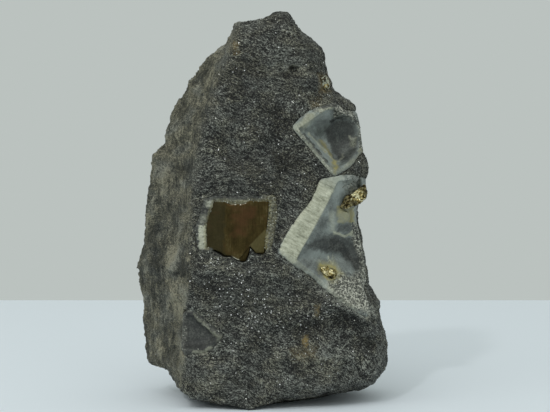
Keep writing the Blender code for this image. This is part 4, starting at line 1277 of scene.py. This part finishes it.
def pyrite_finish():
    """Tarnish over fine stripes, a paler cleaved facet, and painted highlights along its edges."""
    pyrite = Finish("tarnished pyrite")
    place = pyrite.place()
    stripe = pyrite.mottle(place, (0.22, 0.5, 9.0), 2.0, 0.65)
    ledges = pyrite.mottle(place, (5.0, 0.5, 0.28), 2.0, 0.65)
    cloud = pyrite.mottle(place, (2.6, 3.2, 3.2), 3.0, 0.6)
    speck = pyrite.mottle(place, (0.5, 0.5, 0.6), 2.0, 0.6)
    colour = pyrite.tones(pyrite.varied(0.5, (cloud, 0.8), (stripe, 0.5), (speck, 0.4)), [
        (0.20, (0.030, 0.022, 0.009)),
        (0.45, (0.050, 0.037, 0.014)),
        (0.60, (0.066, 0.049, 0.018)),
        (0.85, (0.13, 0.105, 0.05)),
    ])
    reddish = pyrite.mottle(place, (3.5, 3.5, 2.5), 2.0) * 0.7 + pyrite.stored("warm") * 0.2
    colour = pyrite.mixed(reddish.over(0.38, 0.62) * 0.75, colour, (0.088, 0.046, 0.022))
    colour = pyrite.mixed(pyrite.stored("step") * (0.35 + cloud * 0.6), colour, (0.040, 0.036, 0.019))
    colour = pyrite.mixed(pyrite.stored("cleaved") * (0.45 + speck * 0.5), colour, (0.15, 0.125, 0.055))
    # Painted highlights, near white, where the glint outlines lie.
    colour = pyrite.mixed(pyrite.stored("glint") * speck.over(0.35, 0.6), colour, (0.80, 0.76, 0.62))
    return pyrite.finish(
        Base_Color=colour,
        Metallic=1.0,
        Roughness=0.36 + cloud * 0.25,
        Normal=pyrite.bumped(stripe * 0.5 + ledges * 0.2 + speck * 0.35 + cloud * 0.6, 0.14),
    )


crystal = copied("pyrite_cube", "pyrite_crystal")
crystal.data.update()
normals = [n.vector.copy() for n in crystal.data.vertex_normals]
for vertex, normal in zip(crystal.data.vertices, normals):
    vertex.co += Vector((normal.x, 0.0, normal.z)) * (SIDE_GROWTH * MM)
even(crystal, CRYSTAL_CELL)
spots = layout(crystal)
soften(crystal, eased(np.abs(spots[:, 0] - STEP_EDGE), *STEP_ROUNDED), STEP_ROUNDS)
mark(crystal, "cleaved", within(spots, CLEAVED, 0.3))
mark(crystal, "warm", within(spots, WARM, 3.0))
mark(crystal, "glint", blotched(spots, [(outline, 0.15, 1.0) for outline in PAINTED_GLINTS]))
mark(crystal, "step", within(wandering(crystal, STEP_WANDERS), STEP_DOWN, 1.2))
crystal.data.materials.append(pyrite_finish())
crystal.data.shade_smooth()
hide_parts("pyrite_crystal")
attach(crystal, "root")


# ---- Broken grains of pyrite ----
# What is left of other cubes: fresh golden shards on the right flank, below the crown and in the large
# mould, each grown or broken to irregular bright facets.

FACET = 0.65  # how wide the facets of a broken grain are, in millimetres
FACET_RISE = 0.4  # how much higher or lower one stands than the next, as a share of its width,
FACET_LEAN = 0.75  # and how much it leans
FACET_CELL = 0.11 * MM


def gold_finish():
    """Bright facets, darker where they are tarnished and grey where they are dull, with a painted highlight.
    """
    gold = Finish("broken pyrite")
    place = gold.place()
    cloud = gold.mottle(place, (1.3, 1.3, 1.3), 3.0, 0.6)
    facets = gold.cells(place, (0.42, 0.42, 0.42))
    lot = gold.lot(facets)
    # The fresh patch lightens the tone: fresh pyrite, and a painted highlight.
    tone = (cloud - 0.5) * 1.3 + lot * 0.55 + gold.stored("fresh") * 0.42 + 0.05
    colour = gold.tones(tone, [
        (0.18, (0.026, 0.019, 0.006)),
        (0.42, (0.095, 0.072, 0.024)),
        (0.64, (0.30, 0.24, 0.090)),
        (0.88, (0.90, 0.82, 0.50)),
    ])
    colour = gold.mixed(gold.stored("dull") * lot.over(0.35, 0.6), colour, (0.34, 0.35, 0.27))
    return gold.finish(
        Base_Color=colour,
        Metallic=1.0 - gold.stored("dull") * 0.6,
        Roughness=0.16 + cloud * 0.25,
        Normal=gold.bumped(cloud, 0.15, gold.tilted(facets, 0.9)),
    )


def facet_height(point, normal):
    """Flat facets that each lean their own way; two scales make their rise and their lean independent."""
    middle = noise.voronoi(point / FACET)[1][0]
    rise = noise.noise(middle * 5.1)
    lean = noise.noise_vector(middle * 7.3)
    return FACET * (FACET_RISE * rise + FACET_LEAN * lean.dot(point / FACET - middle))


gold = gold_finish()

# Each grain has its node, its outline, the plane of its front and the depth of its back, how dull it is,
# and the patch where it is freshly broken and bright, which also paints a highlight, in the layout's
# millimetres.
GRAINS = {
    "flank_pyrite": dict(
        node="pyrite_flank_cluster",
        outline=[(17.3, 45.7), (18.0, 47.2), (18.7, 48.7), (20.0, 48.9), (20.9, 49.7), (22.1, 50.4),
                 (22.9, 51.1), (23.5, 49.5), (23.2, 47.9), (22.1, 47.1), (21.2, 46.4), (19.8, 46.1),
                 (18.7, 45.6)],
        front=(-7.0, 0.02, 0.0), back=-2.2, dull=0.15,
        fresh=[(19.8, 49.0), (22.4, 50.2), (22.8, 48.0), (21.4, 47.2), (19.8, 47.6)],
    ),
    "crown_pyrite": dict(
        node="pyrite_crown_grain",
        outline=[(13.2, 75.4), (13.9, 76.0), (14.6, 75.6), (15.0, 74.4), (14.8, 73.2), (14.0, 72.6),
                 (13.2, 73.4)],
        front=(-4.2, 0.0, 0.0), back=-1.4, dull=1.0,
        fresh=[(13.2, 74.2), (14.6, 74.2), (14.4, 73.0), (13.6, 73.0)],
    ),
    "mould_pyrite": dict(
        node="pyrite_mould_grain",
        outline=[(13.0, 32.0), (14.2, 32.4), (15.1, 31.8), (16.4, 31.6), (16.5, 30.4), (15.5, 29.6),
                 (14.4, 30.0), (13.5, 30.8)],
        front=(-44.7, 0.75, 0.81), back=-5.0, dull=0.0,
        fresh=[(13.0, 32.6), (16.6, 32.4), (16.8, 30.6), (14.6, 30.2), (13.2, 31.0)],
    ),
}
for name, plan in GRAINS.items():
    grain = shown(name, kept(name, slab(plan["outline"], plan["front"], plan["back"])))
    even(grain, FACET_CELL)
    roughen(grain, facet_height)
    even(grain, FACET_CELL)
    mark(grain, "fresh", within(layout(grain), plan["fresh"], 1.0))
    mark(grain, "dull", [plan["dull"]] * len(grain.data.vertices))
    grain.data.materials.append(gold)
    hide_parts(plan["node"])
    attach(grain, "root")


# ---- Where it stands ----
# A pale table, with soft light from the upper left, less of it from the right, and a small lamp that makes
# the mica glint.

VIEW_DISTANCE = 450 * MM
VIEW_TARGET = Vector((3.15, -12.0, 46.2)) * MM
VIEW_WIDTH = 123.75 * MM  # how wide the view is at the front face
SENSOR = 36.0

camera_data = bpy.data.cameras.new("camera")
camera_data.sensor_width = SENSOR
camera_data.lens = SENSOR * VIEW_DISTANCE / VIEW_WIDTH
camera_data.clip_start = 0.01
camera = shown("camera", camera_data)
away = Vector((0, -math.cos(VIEW_ELEVATION), math.sin(VIEW_ELEVATION)))
camera.location = VIEW_TARGET + VIEW_DISTANCE * away
camera.rotation_euler = (math.pi / 2 - VIEW_ELEVATION, 0, 0)
bpy.context.scene.camera = camera

TABLE_WIDE = 600 * MM
TABLE_DEEP = 300 * MM
TABLE_THICK = 20 * MM

table_mesh = bmesh.new()
bmesh.ops.create_cube(table_mesh, size=1.0)
for vertex in table_mesh.verts:
    x, y, z = vertex.co
    vertex.co = Vector((x * TABLE_WIDE, y * TABLE_DEEP, (z - 0.5) * TABLE_THICK))
table = shown("table", kept("table", table_mesh))
top = Finish("pale table")
table.data.materials.append(top.finish(Base_Color=(0.70, 0.755, 0.80, 1), Roughness=0.7))


LIT_SPOT = Vector((0, 0, 45)) * MM  # the middle of the stone


def softbox(name, place, size, power):
    """A square soft light that faces the stone. Its place and size are in metres, its power in watts."""
    light = bpy.data.lights.new(name, "AREA")
    light.shape = "SQUARE"
    light.size = size
    light.energy = power
    lamp = shown(name, light)
    lamp.location = place
    lamp.rotation_euler = (LIT_SPOT - Vector(place)).to_track_quat("-Z", "Y").to_euler()


softbox("key", (-0.42, -0.44, 0.76), 1.00, 3.5)
softbox("fill", (0.45, -0.30, 0.80), 1.20, 1.7)
softbox("spark", (-0.30, -0.55, 0.60), 0.05, 1.0)

world = bpy.data.worlds.new("world")
world.use_nodes = True
sky = world.node_tree.nodes["Background"]
sky.inputs["Color"].default_value = (0.92, 1.0, 0.965, 1)
sky.inputs["Strength"].default_value = 0.54
bpy.context.scene.world = world
bpy.context.scene.view_settings.view_transform = "Standard"
